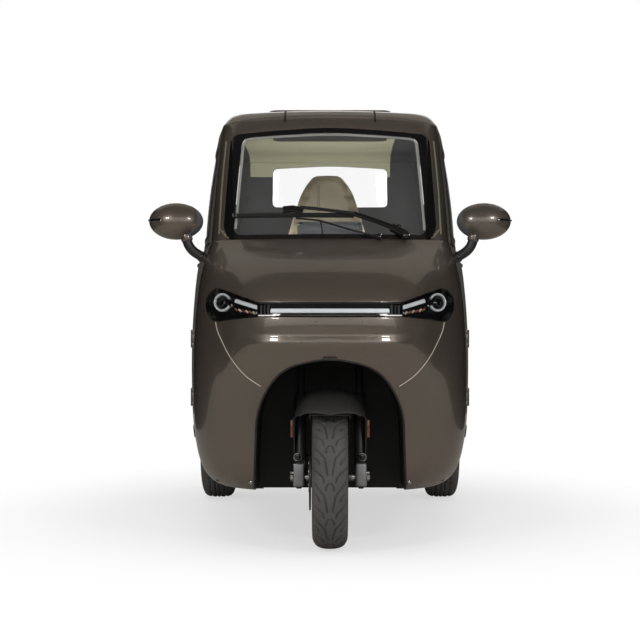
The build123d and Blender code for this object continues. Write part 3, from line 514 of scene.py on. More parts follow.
def tube(name, points, radius_mm, material, sides=8):
    """A round bar along points, as a curve with a bevel turned into a mesh."""
    curve = bpy.data.curves.new(name, "CURVE")
    curve.dimensions = "3D"
    curve.bevel_depth = radius_mm * MM
    curve.bevel_resolution = max(1, sides // 4)
    curve.use_fill_caps = True
    spline = curve.splines.new("NURBS")
    spline.points.add(len(points) - 1)
    for slot, point in zip(spline.points, points):
        slot.co = (*point, 1)
    spline.order_u = 3
    spline.use_endpoint_u = True
    spline.resolution_u = 6
    holder = add_object(name, curve)
    mesh = evaluated_mesh(holder)
    bpy.data.objects.remove(holder)
    mesh.materials.clear()
    mesh.materials.append(material)
    return smooth(tidy_normals(add_object(name, mesh)))


def rounded_box(name, corner, opposite, round_mm, material, segments=3):
    """A moulded block between two opposite corners, with all its edges rounded."""
    shape = bmesh.new()
    bmesh.ops.create_cube(shape, size=1)
    size = Vector([abs(b - a) for a, b in zip(corner, opposite)])
    bmesh.ops.scale(shape, vec=size, verts=shape.verts)
    bmesh.ops.translate(shape, vec=(corner + opposite) / 2, verts=shape.verts)
    bmesh.ops.bevel(shape, geom=shape.edges[:], offset=round_mm * MM, segments=segments, profile=0.5,
                    affect="EDGES", clamp_overlap=True)
    return from_shape(name, shape, material)


def bar(name, start, end, radius_mm, material, sides=20, round_mm=1.0):
    """A turned bar between two points with broken edges."""
    shape = bmesh.new()
    run = end - start
    bmesh.ops.create_cone(shape, cap_ends=True, segments=sides, radius1=radius_mm * MM, radius2=radius_mm * MM,
                          depth=run.length)
    rims = [edge for edge in shape.edges if abs(edge.verts[0].co.z - edge.verts[1].co.z) < 1e-6]
    bmesh.ops.bevel(shape, geom=rims, offset=round_mm * MM, segments=2, profile=0.5, affect="EDGES")
    spin = run.to_track_quat("Z", "Y").to_matrix().to_4x4()
    bmesh.ops.transform(shape, matrix=Matrix.Translation((start + end) / 2) @ spin, verts=shape.verts)
    return from_shape(name, shape, material)


def hexagon(name, start, end, across_mm, material):
    return bar(name, start, end, across_mm / 2 / cos(pi / 6), material, 6, 1.2)


print("helpers ready")

# %% [markdown]
# ## Pieces that lie on the skin
#
# Lamps, seams and trims follow the curved body. Their outlines are flat drawings, as seen from one side,
# and every point of them is dropped along the view onto the frame's faces. A drawing seen from the front
# has x and height, one from the side has station and height, and one from above has x and station.

# %% Helpers for the skin
from mathutils.geometry import delaunay_2d_cdt

FRONT, REAR, LEFT, RIGHT, TOP = "front", "rear", "left", "right", "top"
VIEW = {
    FRONT: (Vector((0, 1, 0)), lambda u, v: place(u, -1500, v)),
    REAR: (Vector((0, -1, 0)), lambda u, v: place(u, 3500, v)),
    LEFT: (Vector((-1, 0, 0)), lambda u, v: place(1500, u, v)),
    RIGHT: (Vector((1, 0, 0)), lambda u, v: place(-1500, u, v)),
    TOP: (Vector((0, 0, -1)), lambda u, v: place(u, v, 2500)),
}


def skin_of(*names):
    """The faces of some frame nodes, to drop points on."""
    points, faces = [], []
    for name in names:
        base = len(points)
        points += [nodes[name].matrix_world @ vertex.co for vertex in nodes[name].data.vertices]
        faces += [[base + i for i in face.vertices] for face in nodes[name].data.polygons]
    return BVHTree.FromPolygons(points, faces)


def drop(skin, view, u, v, proud_mm=0.0):
    """Where a drawn point lands on the skin, moved out along its normal, and that normal."""
    direction, start = VIEW[view]
    spot, normal, _, _ = skin.ray_cast(start(u, v), direction)
    if spot is None:
        return None, None
    if normal.dot(direction) > 0:
        normal = -normal
    return spot + normal * proud_mm * MM, normal


def along(points, step):
    """Points spaced evenly along a polyline, corners rounded over about one step."""
    line = np.array(points, float)
    run = np.concatenate([[0], np.cumsum(np.linalg.norm(np.diff(line, axis=0), axis=1))])
    count = max(2, int(run[-1] / step) + 1)
    at = np.linspace(0, run[-1], count)
    return np.stack([np.interp(at, run, line[:, k]) for k in range(line.shape[1])], 1)


def curve_through(points, step, closed=False):
    """A smooth line through points (Catmull-Rom), sampled at even steps."""
    line = [np.array(point, float) for point in points]
    ends = (line[-1], line[0], line[1]) if closed else (2 * line[0] - line[1], 2 * line[-1] - line[-2], None)
    padded = [ends[0]] + line + [end for end in ends[1:] if end is not None]
    fine = []
    for a, b, c, d in zip(padded, padded[1:], padded[2:], padded[3:]):
        for t in np.linspace(0, 1, 12, endpoint=False):
            fine.append(0.5 * (2 * b + (c - a) * t + (2 * a - 5 * b + 4 * c - d) * t ** 2
                               + (3 * b - a - 3 * c + d) * t ** 3))
    fine.append(padded[-2])
    return along(fine, step)


def rounded_outline(corners, share=0.3, step=6):
    """A closed outline with each corner rounded over a share of the shorter side beside it."""
    corners = [np.array(corner, float) for corner in corners]
    shares = share if isinstance(share, (list, tuple)) else [share] * len(corners)
    line = []
    for i, here in enumerate(corners):
        before, after = corners[i - 1], corners[(i + 1) % len(corners)]
        reach = shares[i] * min(np.linalg.norm(before - here), np.linalg.norm(after - here))
        start = here + (before - here) / np.linalg.norm(before - here) * reach
        end = here + (after - here) / np.linalg.norm(after - here) * reach
        for t in np.linspace(0, 1, 7 if reach > 0.1 else 1):
            line.append((1 - t) ** 2 * start + 2 * t * (1 - t) * here + t ** 2 * end)
    line.append(line[0])
    return along(line, step)[:-1]


def offset_outline(line, distance):
    """A closed outline moved out by a distance, or in where it is negative."""
    centre = line.mean(0)
    ahead = np.roll(line, -1, 0) - np.roll(line, 1, 0)
    normal = np.stack([ahead[:, 1], -ahead[:, 0]], 1)
    normal /= np.linalg.norm(normal, axis=1)[:, None]
    outward = np.sign(((line - centre) * normal).sum(1).mean())
    return line + normal * outward * distance


def ribbon(name, skin, view, line, section, material, closed=False):
    """A moulding along a drawn line: its section is (across, up) points in millimetres."""
    spots = [drop(skin, view, u, v) for u, v in line]
    spots = [(spot, normal) for spot, normal in spots if spot is not None]
    count, points, faces, size = len(spots), [], [], len(section)
    for i, (spot, normal) in enumerate(spots):
        before = spots[i - 1][0] if closed or i else spot
        after = spots[(i + 1) % count][0] if closed or i + 1 < count else spot
        side = normal.cross(after - before).normalized()
        points += [spot + side * across * MM + normal * up * MM for across, up in section]
    for i in range(count if closed else count - 1):
        ring, after = i * size, ((i + 1) % count) * size
        faces += [(ring + j, ring + (j + 1) % size, after + (j + 1) % size, after + j) for j in range(size)]
    if not closed:
        faces += [tuple(range(size)), tuple(reversed(range((count - 1) * size, count * size)))]
    return smooth(tidy_normals(new_piece(name, points, faces, material)))


def round_section(radius, sink=0.5, sides=8):
    return [(radius * cos(2 * pi * i / sides), radius * sin(2 * pi * i / sides) + radius - sink)
            for i in range(sides)]


def patch(name, skin, view, outline, step, proud_mm, material):
    """A sheet over a drawn outline, laid on the skin and moved out along its normals."""
    outline = [Vector(point) for point in outline]
    edges = [(i, (i + 1) % len(outline)) for i in range(len(outline))]
    us, vs = [p.x for p in outline], [p.y for p in outline]
    grid = [Vector((u, v)) for u in np.arange(min(us), max(us), step) for v in np.arange(min(vs), max(vs), step)]
    grid = [point for point in grid if min((point - q).length for q in outline) > step * 0.4]
    points, _, faces, _, _, _ = delaunay_2d_cdt(outline + grid, edges, [], 1, 1e-5)
    spots = [drop(skin, view, point.x, point.y, proud_mm)[0] for point in points]
    good = [face for face in faces if all(spots[i] is not None for i in face)]
    sheet = new_piece(name, [spot or Vector() for spot in spots], good, material)
    with editing(sheet.data) as shape:
        bmesh.ops.delete(shape, geom=[v for v in shape.verts if not v.link_faces], context="VERTS")
        bmesh.ops.recalc_face_normals(shape, faces=shape.faces)
        if sum(face.normal.dot(-VIEW[view][0]) for face in shape.faces) < 0:
            bmesh.ops.reverse_faces(shape, faces=shape.faces)
    sheet.data.shade_smooth()
    return sheet


def thickened(piece, millimetres):
    """The sheet with a thickness, laid inwards from its face."""
    solid = piece.modifiers.new("thickness", "SOLIDIFY")
    solid.thickness = millimetres * MM
    solid.offset = -1
    return smooth(applied(piece))


def stamped(name, stamp, spots, material=None, scale=1.0):
    """A Geometry Nodes tree that puts a stamp on points, each turned so that its Z follows the normal."""
    mesh = bpy.data.meshes.new(f"{name}_points")
    mesh.from_pydata([tuple(spot) for spot, _ in spots], [], [])
    facing = mesh.attributes.new("facing", "FLOAT_VECTOR", "POINT")
    for item, (_, normal) in zip(facing.data, spots):
        item.vector = normal
    holder = bpy.data.objects.new(name, mesh)
    scene.collection.objects.link(holder)
    tree = bpy.data.node_groups.new("stamped", "GeometryNodeTree")
    tree.interface.new_socket("Geometry", in_out="INPUT", socket_type="NodeSocketGeometry")
    tree.interface.new_socket("Stamp", in_out="INPUT", socket_type="NodeSocketObject")
    tree.interface.new_socket("Size", in_out="INPUT", socket_type="NodeSocketFloat")
    tree.interface.new_socket("Geometry", in_out="OUTPUT", socket_type="NodeSocketGeometry")
    source = add_node(tree, "NodeGroupInput")
    stamp_node = add_node(tree, "GeometryNodeObjectInfo", Object=source.outputs["Stamp"])
    named = add_node(tree, "GeometryNodeInputNamedAttribute", {"data_type": "FLOAT_VECTOR"}, Name="facing")
    turn = add_node(tree, "FunctionNodeAlignRotationToVector", {"axis": "Z"}, Vector=named.outputs["Attribute"])
    placed = add_node(tree, "GeometryNodeInstanceOnPoints", Points=source.outputs["Geometry"],
                      Instance=stamp_node.outputs["Geometry"], Rotation=turn.outputs["Rotation"],
                      Scale=source.outputs["Size"])
    real = add_node(tree, "GeometryNodeRealizeInstances", Geometry=placed.outputs[0])
    finish = add_node(tree, "GeometryNodeSetMaterial", Geometry=real.outputs[0],
                      Material=material or stamp.data.materials[0])
    add_node(tree, "NodeGroupOutput", Geometry=finish.outputs[0])
    modifier = holder.modifiers.new("stamped", "NODES")
    modifier.node_group = tree
    modifier[tree.interface.items_tree["Stamp"].identifier] = stamp
    modifier[tree.interface.items_tree["Size"].identifier] = scale
    piece = applied(holder)
    bpy.data.objects.remove(stamp)
    return smooth(piece)


def dome(radius, height, material, sides=16, rings=4):
    """A round head, such as a screw's, standing on the origin along Z; sizes in millimetres."""
    points, faces = [], []
    for j in range(rings + 1):
        lift = j / rings * pi / 2
        for i in range(sides):
            turn = 2 * pi * i / sides
            points.append(mm(radius * cos(lift) * cos(turn), radius * cos(lift) * sin(turn), height * sin(lift)))
    for j in range(rings):
        for i in range(sides):
            k = (i + 1) % sides
            faces.append((j * sides + i, j * sides + k, (j + 1) * sides + k, (j + 1) * sides + i))
    return smooth(tidy_normals(new_piece("dome", points, faces, material)))


def lifted(width, low, high, roll=1.0):
    """A strip's section that stands between two heights over the skin."""
    half = width / 2
    return [(-half, low), (-half, high - roll), (-half + roll, high), (half - roll, high), (half, high - roll),
            (half, low)]


def circle_line(centre, radius, start=0.0, sweep=2 * pi, count=48):
    turns = [start + sweep * i / count for i in range(count + 1)]
    return [(centre[0] + radius * cos(turn), centre[1] + radius * sin(turn)) for turn in turns]


def flipped(side, line):
    return [(side * u, v) for u, v in line]


def strips(skin, view, rows, side=1):
    """Mouldings on one skin, from rows of name, corners, step, section (as for lifted) and material."""
    return [ribbon(name, skin, view, flipped(side, along(corners, step)), lifted(*section), material)
            for name, corners, step, section, material in rows]


def heads(name, skin, view, spots, head, proud_mm=0.0):
    """Round heads, such as screws, that stand on the skin at drawn places."""
    return stamped(name, head, [drop(skin, view, u, v, proud_mm) for u, v in spots])


front_skin = skin_of("nose_panel", "front_corner_left", "front_corner_right", "bonnet", "headlamp_left",
                     "headlamp_right", "light_bar")
print("skin ready", drop(front_skin, FRONT, 0, 700)[0])

# %% [markdown]
# ## Front tyre
#
# The front tyre faces the camera, so its tread is real geometry. One pitch of the tread is a fine grid over
# the crown, pressed in where it lies near a groove line: a long groove with a knee, a shorter one beside
# it, a nick at the shoulder, and a pair of short strokes at the middle. A Geometry Nodes tree repeats the
# pitch twelve times round the wheel. Displacement by a texture would need far more faces for the same edge.

# %% Front tyre
PITCHES = 12
GROOVE_HALF_MM = 2.3
GROOVE_DEPTH_MM = 4.5
TREAD_STEP_MM = 1.7
FRONT_CROWN = [(0, 236.4), (14, 235.9), (28, 233.6), (40, 229.0), (49, 221.5), (55, 211.0)]
FRONT_WALL = [(55, 211.0), (58.2, 201.0), (58.6, 190.0), (56.0, 175.0), (50.0, 162.0), (45.5, 155.2)]
# Groove lines of one pitch: distance out from the middle and distance along the tread, millimetres
GROOVES = [
    [(4, 0), (11, 8), (13, 22)],
    [(50, -2), (34, 20), (17, 42), (8, 96)],
    [(47, 38), (38, 48), (34, 60)],
    [(54, 70), (38, 88), (24, 102), (19, 119)],
]


def eased(points, steps):
    """Evenly spaced points along a smooth line through the given ones."""
    points = np.array(points, float)
    chord = np.concatenate([[0], np.cumsum(np.hypot(*np.diff(points, axis=0).T))])
    fine = np.linspace(0, chord[-1], 400)
    line = np.stack([np.interp(fine, chord, points[:, k]) for k in (0, 1)], 1)
    kernel = np.ones(41) / 41
    padded = np.pad(line, ((20, 20), (0, 0)), mode="reflect", reflect_type="odd")
    line = np.stack([np.convolve(padded[:, k], kernel, "valid") for k in (0, 1)], 1)
    return line[np.linspace(0, len(line) - 1, steps + 1).round().astype(int)]


def groove_depth(out, along, lines, period, half_width, depth):
    """How deep the tread is cut at each point, from its distance to the nearest groove line."""
    nearest = np.full(out.shape, 1e9)
    for line in lines:
        for (u0, v0), (u1, v1) in zip(line, line[1:]):
            for turn in (-1, 0, 1):
                du, dv = u1 - u0, v1 - v0
                t = np.clip(((out - u0) * du + (along - v0 - turn * period) * dv) / (du * du + dv * dv), 0, 1)
                gap = np.hypot(out - u0 - t * du, along - v0 - turn * period - t * dv)
                nearest = np.minimum(nearest, gap)
    return depth * np.clip((half_width + 0.8 - nearest) / 1.6, 0, 1)


def tread_pitch(name, crown, lines, pitches, half_width, depth, step, centre, material):
    """One pitch of the tread, at the front of the wheel, as a pressed grid over the crown."""
    radius = crown[0][1]
    period = 2 * pi * radius / pitches
    side = eased(crown, int(crown[-1][0] / step))
    across = np.concatenate([-side[::-1, 0], side[1:, 0]])
    height = np.concatenate([side[::-1, 1], side[1:, 1]])
    rows = int(period / step)
    along = np.linspace(0, period, rows + 1)
    out, run = np.meshgrid(np.abs(across), along)
    cut = groove_depth(out, run, lines, period, half_width, depth)
    cut[:, 0] = cut[:, -1] = 0
    radii = height[None, :] - cut
    points = []
    for i in range(rows + 1):
        angle = -along[i] / radius
        for j in range(len(across)):
            r = radii[i, j] * MM
            points.append(centre + Vector((across[j] * MM, -r * cos(angle), r * sin(angle))))
    width = len(across)
    faces = [(i * width + j, i * width + j + 1, (i + 1) * width + j + 1, (i + 1) * width + j)
             for i in range(rows) for j in range(width - 1)]
    return new_piece(name, points, faces, material)


def repeat_round(piece, copies, centre, material):
    """A Geometry Nodes tree that repeats a piece round the wheel axis, and its result as a plain mesh."""
    tree = bpy.data.node_groups.new("repeat_round", "GeometryNodeTree")
    tree.interface.new_socket("Geometry", in_out="INPUT", socket_type="NodeSocketGeometry")
    tree.interface.new_socket("Copies", in_out="INPUT", socket_type="NodeSocketInt")
    tree.interface.new_socket("Geometry", in_out="OUTPUT", socket_type="NodeSocketGeometry")
    source = add_node(tree, "NodeGroupInput")
    copies_out = source.outputs["Copies"]
    centred = add_node(tree, "GeometryNodeTransform", Geometry=source.outputs["Geometry"],
                       Translation=tuple(-centre))
    dots = add_node(tree, "GeometryNodeMeshLine", Count=copies_out, Offset=(0, 0, 0))
    index = add_node(tree, "GeometryNodeInputIndex")
    share = add_node(tree, "ShaderNodeMath", {"operation": "DIVIDE"}, i0=index.outputs[0], i1=copies_out)
    angle = add_node(tree, "ShaderNodeMath", {"operation": "MULTIPLY"}, i0=share.outputs[0], i1=2 * pi)
    turn = add_node(tree, "ShaderNodeCombineXYZ", X=angle.outputs[0])
    placed = add_node(tree, "GeometryNodeInstanceOnPoints", Points=dots.outputs["Mesh"],
                      Instance=centred.outputs["Geometry"], Rotation=turn.outputs[0])
    real = add_node(tree, "GeometryNodeRealizeInstances", Geometry=placed.outputs[0])
    back = add_node(tree, "GeometryNodeTransform", Geometry=real.outputs[0], Translation=tuple(centre))
    painted_tree = add_node(tree, "GeometryNodeSetMaterial", Geometry=back.outputs["Geometry"], Material=material)
    add_node(tree, "NodeGroupOutput", Geometry=painted_tree.outputs[0])
    modifier = piece.modifiers.new("repeat", "NODES")
    modifier.node_group = tree
    modifier[tree.interface.items_tree["Copies"].identifier] = copies
    return applied(piece)


def tyre(name, crown, wall, lines, pitches, half_width, depth, step, centre, body, node):
    pitch = tread_pitch(f"{name}_pitch", crown, lines, pitches, half_width, depth, step, centre, tyre_rubber)
    tread = repeat_round(pitch, pitches, centre, tyre_rubber)
    line = eased(wall, 14)
    profile = [(a, r) for a, r in line]
    right = turned(f"{name}_wall_a", profile, centre, 120, tyre_rubber, closed=False)
    left = turned(f"{name}_wall_b", [(-a, r) for a, r in profile], centre, 120, tyre_rubber, closed=False)
    inner = turned(f"{name}_bead", [(profile[-1][0], profile[-1][1]), (-profile[-1][0], profile[-1][1])], centre,
                   120, tyre_rubber, closed=False)
    whole = join(name, [tread, right, left, inner])
    smooth(tidy_normals(whole, 0.05 * MM), 50)
    print(name, "triangles", sum(len(p.vertices) - 2 for p in whole.data.polygons))
    return hand_over(whole, body, "tyre", node)


tyre("front_tyre_tread", FRONT_CROWN, FRONT_WALL, GROOVES, PITCHES, GROOVE_HALF_MM, GROOVE_DEPTH_MM,
     TREAD_STEP_MM, FRONT_HUB, "front_wheel", "front_tyre")

# %% [markdown]
# ## Finishes of the small parts
#
# Light guides are opal acrylic, screws and nuts are bright zinc, and the reflectors and the indicator cells are
# moulded acrylic in amber. A pale line along the nose seams is a painted highlight.

# %% Small finishes
light_guide = grained("opal_acrylic_light_guide", "B4B8BA", "C6CACC", 0.2, depth=0.02, Coat_Weight=0.6)
amber_acrylic = grained("amber_acrylic", "6E3A1C", "864A26", 0.2, depth=0.03, Coat_Weight=0.8)
red_cell = grained("red_indicator_cell", "5E2A26", "703430", 0.25, depth=0.03, Coat_Weight=0.8)
clear_cell = grained("clear_indicator_cell", "8A857E", "A39E96", 0.2, depth=0.03, Coat_Weight=0.8)
# A pale colour that paints the highlight along the nose seams.
seam_painted_highlight = grained("nose_seam_painted_highlight", "A69C90", "B8AEA2", 0.3, depth=0.02)
chrome = grained("chromed_screw_head", "B9BABB", "D2D3D3", 0.12, depth=0.03, Metallic=1.0)
black_glass = grained("projector_glass", "060607", "0A0A0C", 0.04, depth=0.0, Coat_Weight=1.0)
rubber_black = grained("epdm_rubber_seal", "121213", "1B1B1C", 0.55, grain_mm=1.0)
guard_plastic = grained("polypropylene_mudguard", "2C2B2A", "383736", 0.46, grain_mm=1.4, depth=0.4)
cast_alloy = grained("sand_cast_alloy", "87888A", "A0A1A2", 0.42, grain_mm=1.6, depth=0.5, Metallic=0.9)
rim_black = grained("painted_alloy_rim", "131314", "1D1D1E", 0.35, grain_mm=1.0, Coat_Weight=0.4)
brake_steel = grained("ground_brake_disc", "808183", "9A9B9C", 0.3, grain_mm=1.0, Metallic=1.0)
for node in ("front_rim", "rear_rim_left", "rear_rim_right"):
    dress(node, rim_black)
print("finishes", len(bpy.data.materials))

# %% [markdown]
# ## Headlamps
#
# Each headlamp is a long pod that sweeps up round the corner of the nose. Behind a clear cover sits a gloss
# black housing with a light ring round a projector, a slanted light guide, and a row of indicator cells.
# The same drawing as the frame's pod is used, so the cover closes its opening exactly. The housing lies
# 14 mm deeper and a thin wall joins the two.

# %% Headlamps
POD = [(228, 812), (300, 838), (375, 864), (410, 838), (414, 790), (385, 748), (300, 758), (228, 765)]
POD_SHARES = [0.02, 0.3, 0.4, 0.4, 0.4, 0.4, 0.3, 0.02]
HOUSING_BASE = -14
RING_CENTRE, RING_RADIUS = (361, 817), 27.7
CELL_ROW, CELL_PITCH = [(236, 779.5), (310, 791.5)], 12.4
CELL_COLOURS = (clear_cell, clear_cell, amber_acrylic, clear_cell, red_cell, clear_cell, amber_acrylic)
pod_line = rounded_outline(POD, POD_SHARES, step=8)
base = HOUSING_BASE
for side, name in ((1, "left"), (-1, "right")):
    rim, rim_inside, cover_line = [flipped(side, offset_outline(pod_line, -inset)) for inset in (0.5, 2.2, 0.6)]
    open_ring = circle_line(RING_CENTRE, RING_RADIUS, radians(206), radians(308))
    bezel_ring = circle_line(RING_CENTRE, 20, count=32)[:-1]
    pieces = [
        thickened(patch(f"housing_{name}", front_skin, FRONT, rim, 14, base, lamp_black), 3),
        ribbon("pod_wall", front_skin, FRONT, rim_inside, lifted(3.6, base - 2, -0.2, 0.8), gloss_black, closed=True),
        ribbon("light_ring", front_skin, FRONT, flipped(side, open_ring), lifted(7.2, base, base + 6, 2.0),
               light_guide),
        ribbon("bezel", front_skin, FRONT, flipped(side, bezel_ring), lifted(5, base, base + 4, 1.5), gloss_black,
               closed=True),
        heads("projector", front_skin, FRONT, flipped(side, [RING_CENTRE]), dome(17, 8, black_glass, 24, 6), base + 1),
        heads("bead", front_skin, FRONT, flipped(side, [(328, 806)]), dome(5, 4, chrome), base + 1),
    ]
    pieces += strips(front_skin, FRONT, [
        ("slanted_guide", [(228, 797), (313, 821.5)], 8, (13, base, base + 6, 2.0), light_guide)], side)
    pieces += strips(front_skin, FRONT, [
        ("cell", [(u - 4, v - 3.4), (u + 4, v + 3.4)], 4, (6.5, base, base + 4, 1.5), CELL_COLOURS[i % 7])
        for i, (u, v) in enumerate(along(CELL_ROW, CELL_PITCH))], side)
    body = nodes[f"headlamp_{name}"]["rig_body"]
    inner = join(f"headlamp_{name}_inner", pieces)
    hand_over(smooth(inner), body, "lamp_lens", f"headlamp_{name}")
    cover = thickened(patch(f"headlamp_{name}_cover", front_skin, FRONT, cover_line, 14, 0.0, lens_cover), 2)
    hand_over(cover, body, "glass")
    print(f"headlamp_{name}", len(inner.data.polygons), "faces")

# %% [markdown]
# ## Light bar
#
# Between the lamps a black trough crosses the nose. One straight light guide lies in it, black lips run above
# and below, and three brackets stand at each end. A pale strip on the lower lip under them is a painted
# highlight. The frame's recessed strip stays as the trough's floor.

# %% Light bar
BAR_GUIDE_HALF, BAR_LIP_HALF, BAR_LIP_Z = 186, 224, (768.5, 808.5)
BAR_BRACKETS = ((194, 7, satin_black), (206, 5, rubber_black), (217, 7, satin_black))  # x, width, finish
bar_skin = skin_of("light_bar")
# A pale colour that paints the highlight on the lower lip of the light bar.
lip_painted_highlight = grained("light_bar_lip_painted_highlight", "C9C7C3", "DCDAD6", 0.2, depth=0.02)
lower, upper = [[(-BAR_LIP_HALF, z), (BAR_LIP_HALF, z)] for z in BAR_LIP_Z]
bar_pieces = strips(bar_skin, FRONT, [
    ("bar_guide", [(-BAR_GUIDE_HALF, 784), (BAR_GUIDE_HALF, 784)], 12, (14, -1, 5, 2.0), light_guide),
    ("bar_lower_lip", lower, 12, (6.5, -1, 6.5, 2.5), gloss_black),
    ("bar_upper_lip", upper, 12, (6, -1, 6, 2.0), gloss_black),
])
for side in (-1, 1):
    # The pale strip on the lower lip under the brackets is a painted highlight.
    bar_pieces += strips(bar_skin, FRONT, [
        ("bar_bright_line", [(168, BAR_LIP_Z[0]), (BAR_LIP_HALF, BAR_LIP_Z[0])], 10, (4.2, -1, 7.2, 1.0), lip_painted_highlight),
    ], side)
    for x, width, finish in BAR_BRACKETS:
        bar_pieces.append(ribbon("bar_bracket", bar_skin, FRONT, [(side * x, z) for z in (772, 788, 801)],
                                 lifted(width, -1, 5.5, 1.5), finish))
bar_trim = join("light_bar_trim", bar_pieces)
hand_over(smooth(bar_trim), nodes["light_bar"]["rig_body"], "lamp_lens")
print("light bar", len(bar_trim.data.polygons), "faces")

# %% [markdown]
# ## Seam, wheel arch and screws
#
# The nose panel ends in a crescent seam, and a pale line along it is a painted highlight. The arch is finished
# with a black edge moulding, five clips, two flaps that close the wheel well's rear corners, and screws with
# bright heads. The seam and the moulding are drawn flat, as seen from the front, and laid on the skin.

# %% Seam, arch lip and screws
SEAM = [(374, 757), (366, 722), (348, 684), (318, 632), (272, 578), (222, 543)]
ARCH_HALF = [(0, 634), (155, 600), (236, 470), (250, 150)]
ARCH_SHARES = [0.4, 0.45, 0.45, 0, 0, 0.45, 0.45]
ARCH_FOOT_Z = 192
CLIPS = ((203, 556), (229, 467))
panel_skin = skin_of("nose_panel", "front_corner_left", "front_corner_right")
ride_on = nodes["nose_panel"]["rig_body"]
for side, name in ((1, "left"), (-1, "right")):
    # A pale line laid on each nose seam: a painted highlight.
    seam = ribbon(f"nose_seam_{name}", panel_skin, FRONT, flipped(side, curve_through(SEAM, 8)),
                  round_section(1.5, 1.1, 6), seam_painted_highlight)
    hand_over(seam, ride_on, "body_paint")


def open_outline(corners, shares, grow, foot, about):
    """An outline grown a little, without what lies under its foot, its points in order round a place."""
    line = offset_outline(rounded_outline(corners, shares, step=about[2]), grow)
    line = line[line[:, 1] > foot]
    return line[np.argsort(np.arctan2(line[:, 1] - about[1], line[:, 0] - about[0]))]


arch_line = open_outline(ARCH_HALF + [(-x, z) for x, z in reversed(ARCH_HALF) if x], ARCH_SHARES, 3.2, ARCH_FOOT_Z,
                         (0, 150, 10))
arch_pieces = [ribbon("arch_lip", panel_skin, FRONT, arch_line, lifted(6.5, -6, 1.6, 1.0), rubber_black)]
for side in (-1, 1):
    for x, z in CLIPS:
        spot = drop(panel_skin, FRONT, side * (x + 22), z)[0] - mm(side * 18, -3, 0)
        arch_pieces.append(rounded_box("clip", spot + mm(-7, -4, -9), spot + mm(7, 4, 9), 2, satin_black))
spot = drop(panel_skin, FRONT, 0, 640)[0]
arch_pieces.append(rounded_box("clip_middle", spot + mm(-22, -3.5, -13), spot + mm(22, 5, -2), 2, satin_black))
arch = join("arch_trim", arch_pieces)
hand_over(smooth(arch), ride_on, "trim_black")
well_flaps = join("well_flaps", [
    rounded_box("well_flap", mm(side * 232, -560, 166), mm(side * 264, -553, 262), 2, rubber_black)
    for side in (-1, 1)])
hand_over(smooth(well_flaps), nodes["front_wheel_well"]["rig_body"], "trim_black")
screws = join("nose_screws", [
    heads("big_screws", panel_skin, FRONT, [(-262, 219), (262, 219)], dome(8, 5, chrome), 0.2),
    heads("small_screws", panel_skin, FRONT, [(-381, 214), (381, 214)], dome(4.5, 3, satin_black), 0.2)])
hand_over(smooth(screws), ride_on, "trim_black")
print("arch", len(arch.data.polygons), "faces, screws", len(screws.data.polygons))

# %% [markdown]
# ## Front mudguard
#
# The hood over the front tyre is moulded polypropylene: a wide shell whose crown is level and whose cheeks
# turn down in front of the fork, with an angled front edge, over a narrow inner guard. A surface of rings and
# rays about the axle gives both, because each point is only an angle and a radius; a thickness and a rolled
# edge finish them. Webs join the two, and a flat stay runs down each side.

# %% Front mudguard
HOOD_HALF = curve_through([(0, 293), (30, 292), (60, 286), (84, 271), (98, 255), (110, 232), (118, 205)], 6)
HOOD_FRONT = ((0, 42), (60, 39), (98, 34.5), (110, 27), (118, 17.5))  # distance across, angle from upright
HOOD_REAR = ((0, -16), (80, -12), (118, -8))
GUARD_FRONT, GUARD_REAR = ((0, 33.0),), ((0, -68.0),)
SHELL_THICK = 3.5


def about_hub(x, angle, radius):
    return FRONT_HUB + mm(x, -radius * sin(radians(angle)), radius * cos(radians(angle)))


def band(name, profile, front, rear, rows):
    """A sheet about the axle between two edges, whose angles come from tables over the distance across."""
    edges = [[float(np.interp(abs(x), *zip(*table))) for x, _ in profile] for table in (front, rear)]
    points, faces, width = [], [], len(profile)
    for j in range(rows + 1):
        points += [about_hub(x, a + (b - a) * j / rows, radius) for (x, radius), a, b in zip(profile, *edges)]
    for j in range(rows):
        for i in range(j * width, (j + 1) * width - 1):
            faces.append((i, i + 1, i + width + 1, i + width))
    sheet = new_piece(name, points, faces, guard_plastic)
    with editing(sheet.data) as shape:
        if sum(face.normal.dot(face.calc_center_median() - FRONT_HUB) for face in shape.faces) < 0:
            bmesh.ops.reverse_faces(shape, faces=shape.faces)
    wall = sheet.modifiers.new("wall", "SOLIDIFY")
    wall.thickness, wall.offset = SHELL_THICK * MM, -1
    roll = sheet.modifiers.new("edge", "BEVEL")
    roll.width, roll.segments, roll.limit_method, roll.angle_limit = 1.1 * MM, 2, "ANGLE", radians(50)
    return smooth(applied(sheet), 45)


hood_line = flipped(-1, HOOD_HALF[:0:-1]) + flipped(1, HOOD_HALF)
guard_line = [(-67, 240), (-67, 249), *[(x, 254) for x in np.linspace(-66, 66, 12)], (67, 249), (67, 240)]
guard_pieces = [band("hood", hood_line, HOOD_FRONT, HOOD_REAR, 14),
                band("guard", guard_line, GUARD_FRONT, GUARD_REAR, 34)]
for side in (-1, 1):
    for angle in (30, -6):
        guard_pieces.append(bar("web", about_hub(side * 64, angle, 252), about_hub(side * 64, angle, 284), 4,
                                guard_plastic, 10))
    guard_pieces.append(rounded_box("stay", FRONT_HUB + mm(side * 118.6 - 2, 14, 52),
                                    FRONT_HUB + mm(side * 118.6 + 2, 38, 196), 1.2, guard_plastic))
mudguard = join("front_mudguard_shell", guard_pieces)
hand_over(smooth(mudguard), nodes["front_mudguard"]["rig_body"], "trim_black", "front_mudguard")
print("mudguard", len(mudguard.data.polygons), "faces")

# %% [markdown]
# ## Fork ends, axle and reflectors
#
# Each fork leg ends in a bright cast clamp that holds the axle, with a nut outside and a spacer inside. An
# amber reflector sits on the outer side of each leg, and a round-headed bolt holds the mudguard stay.

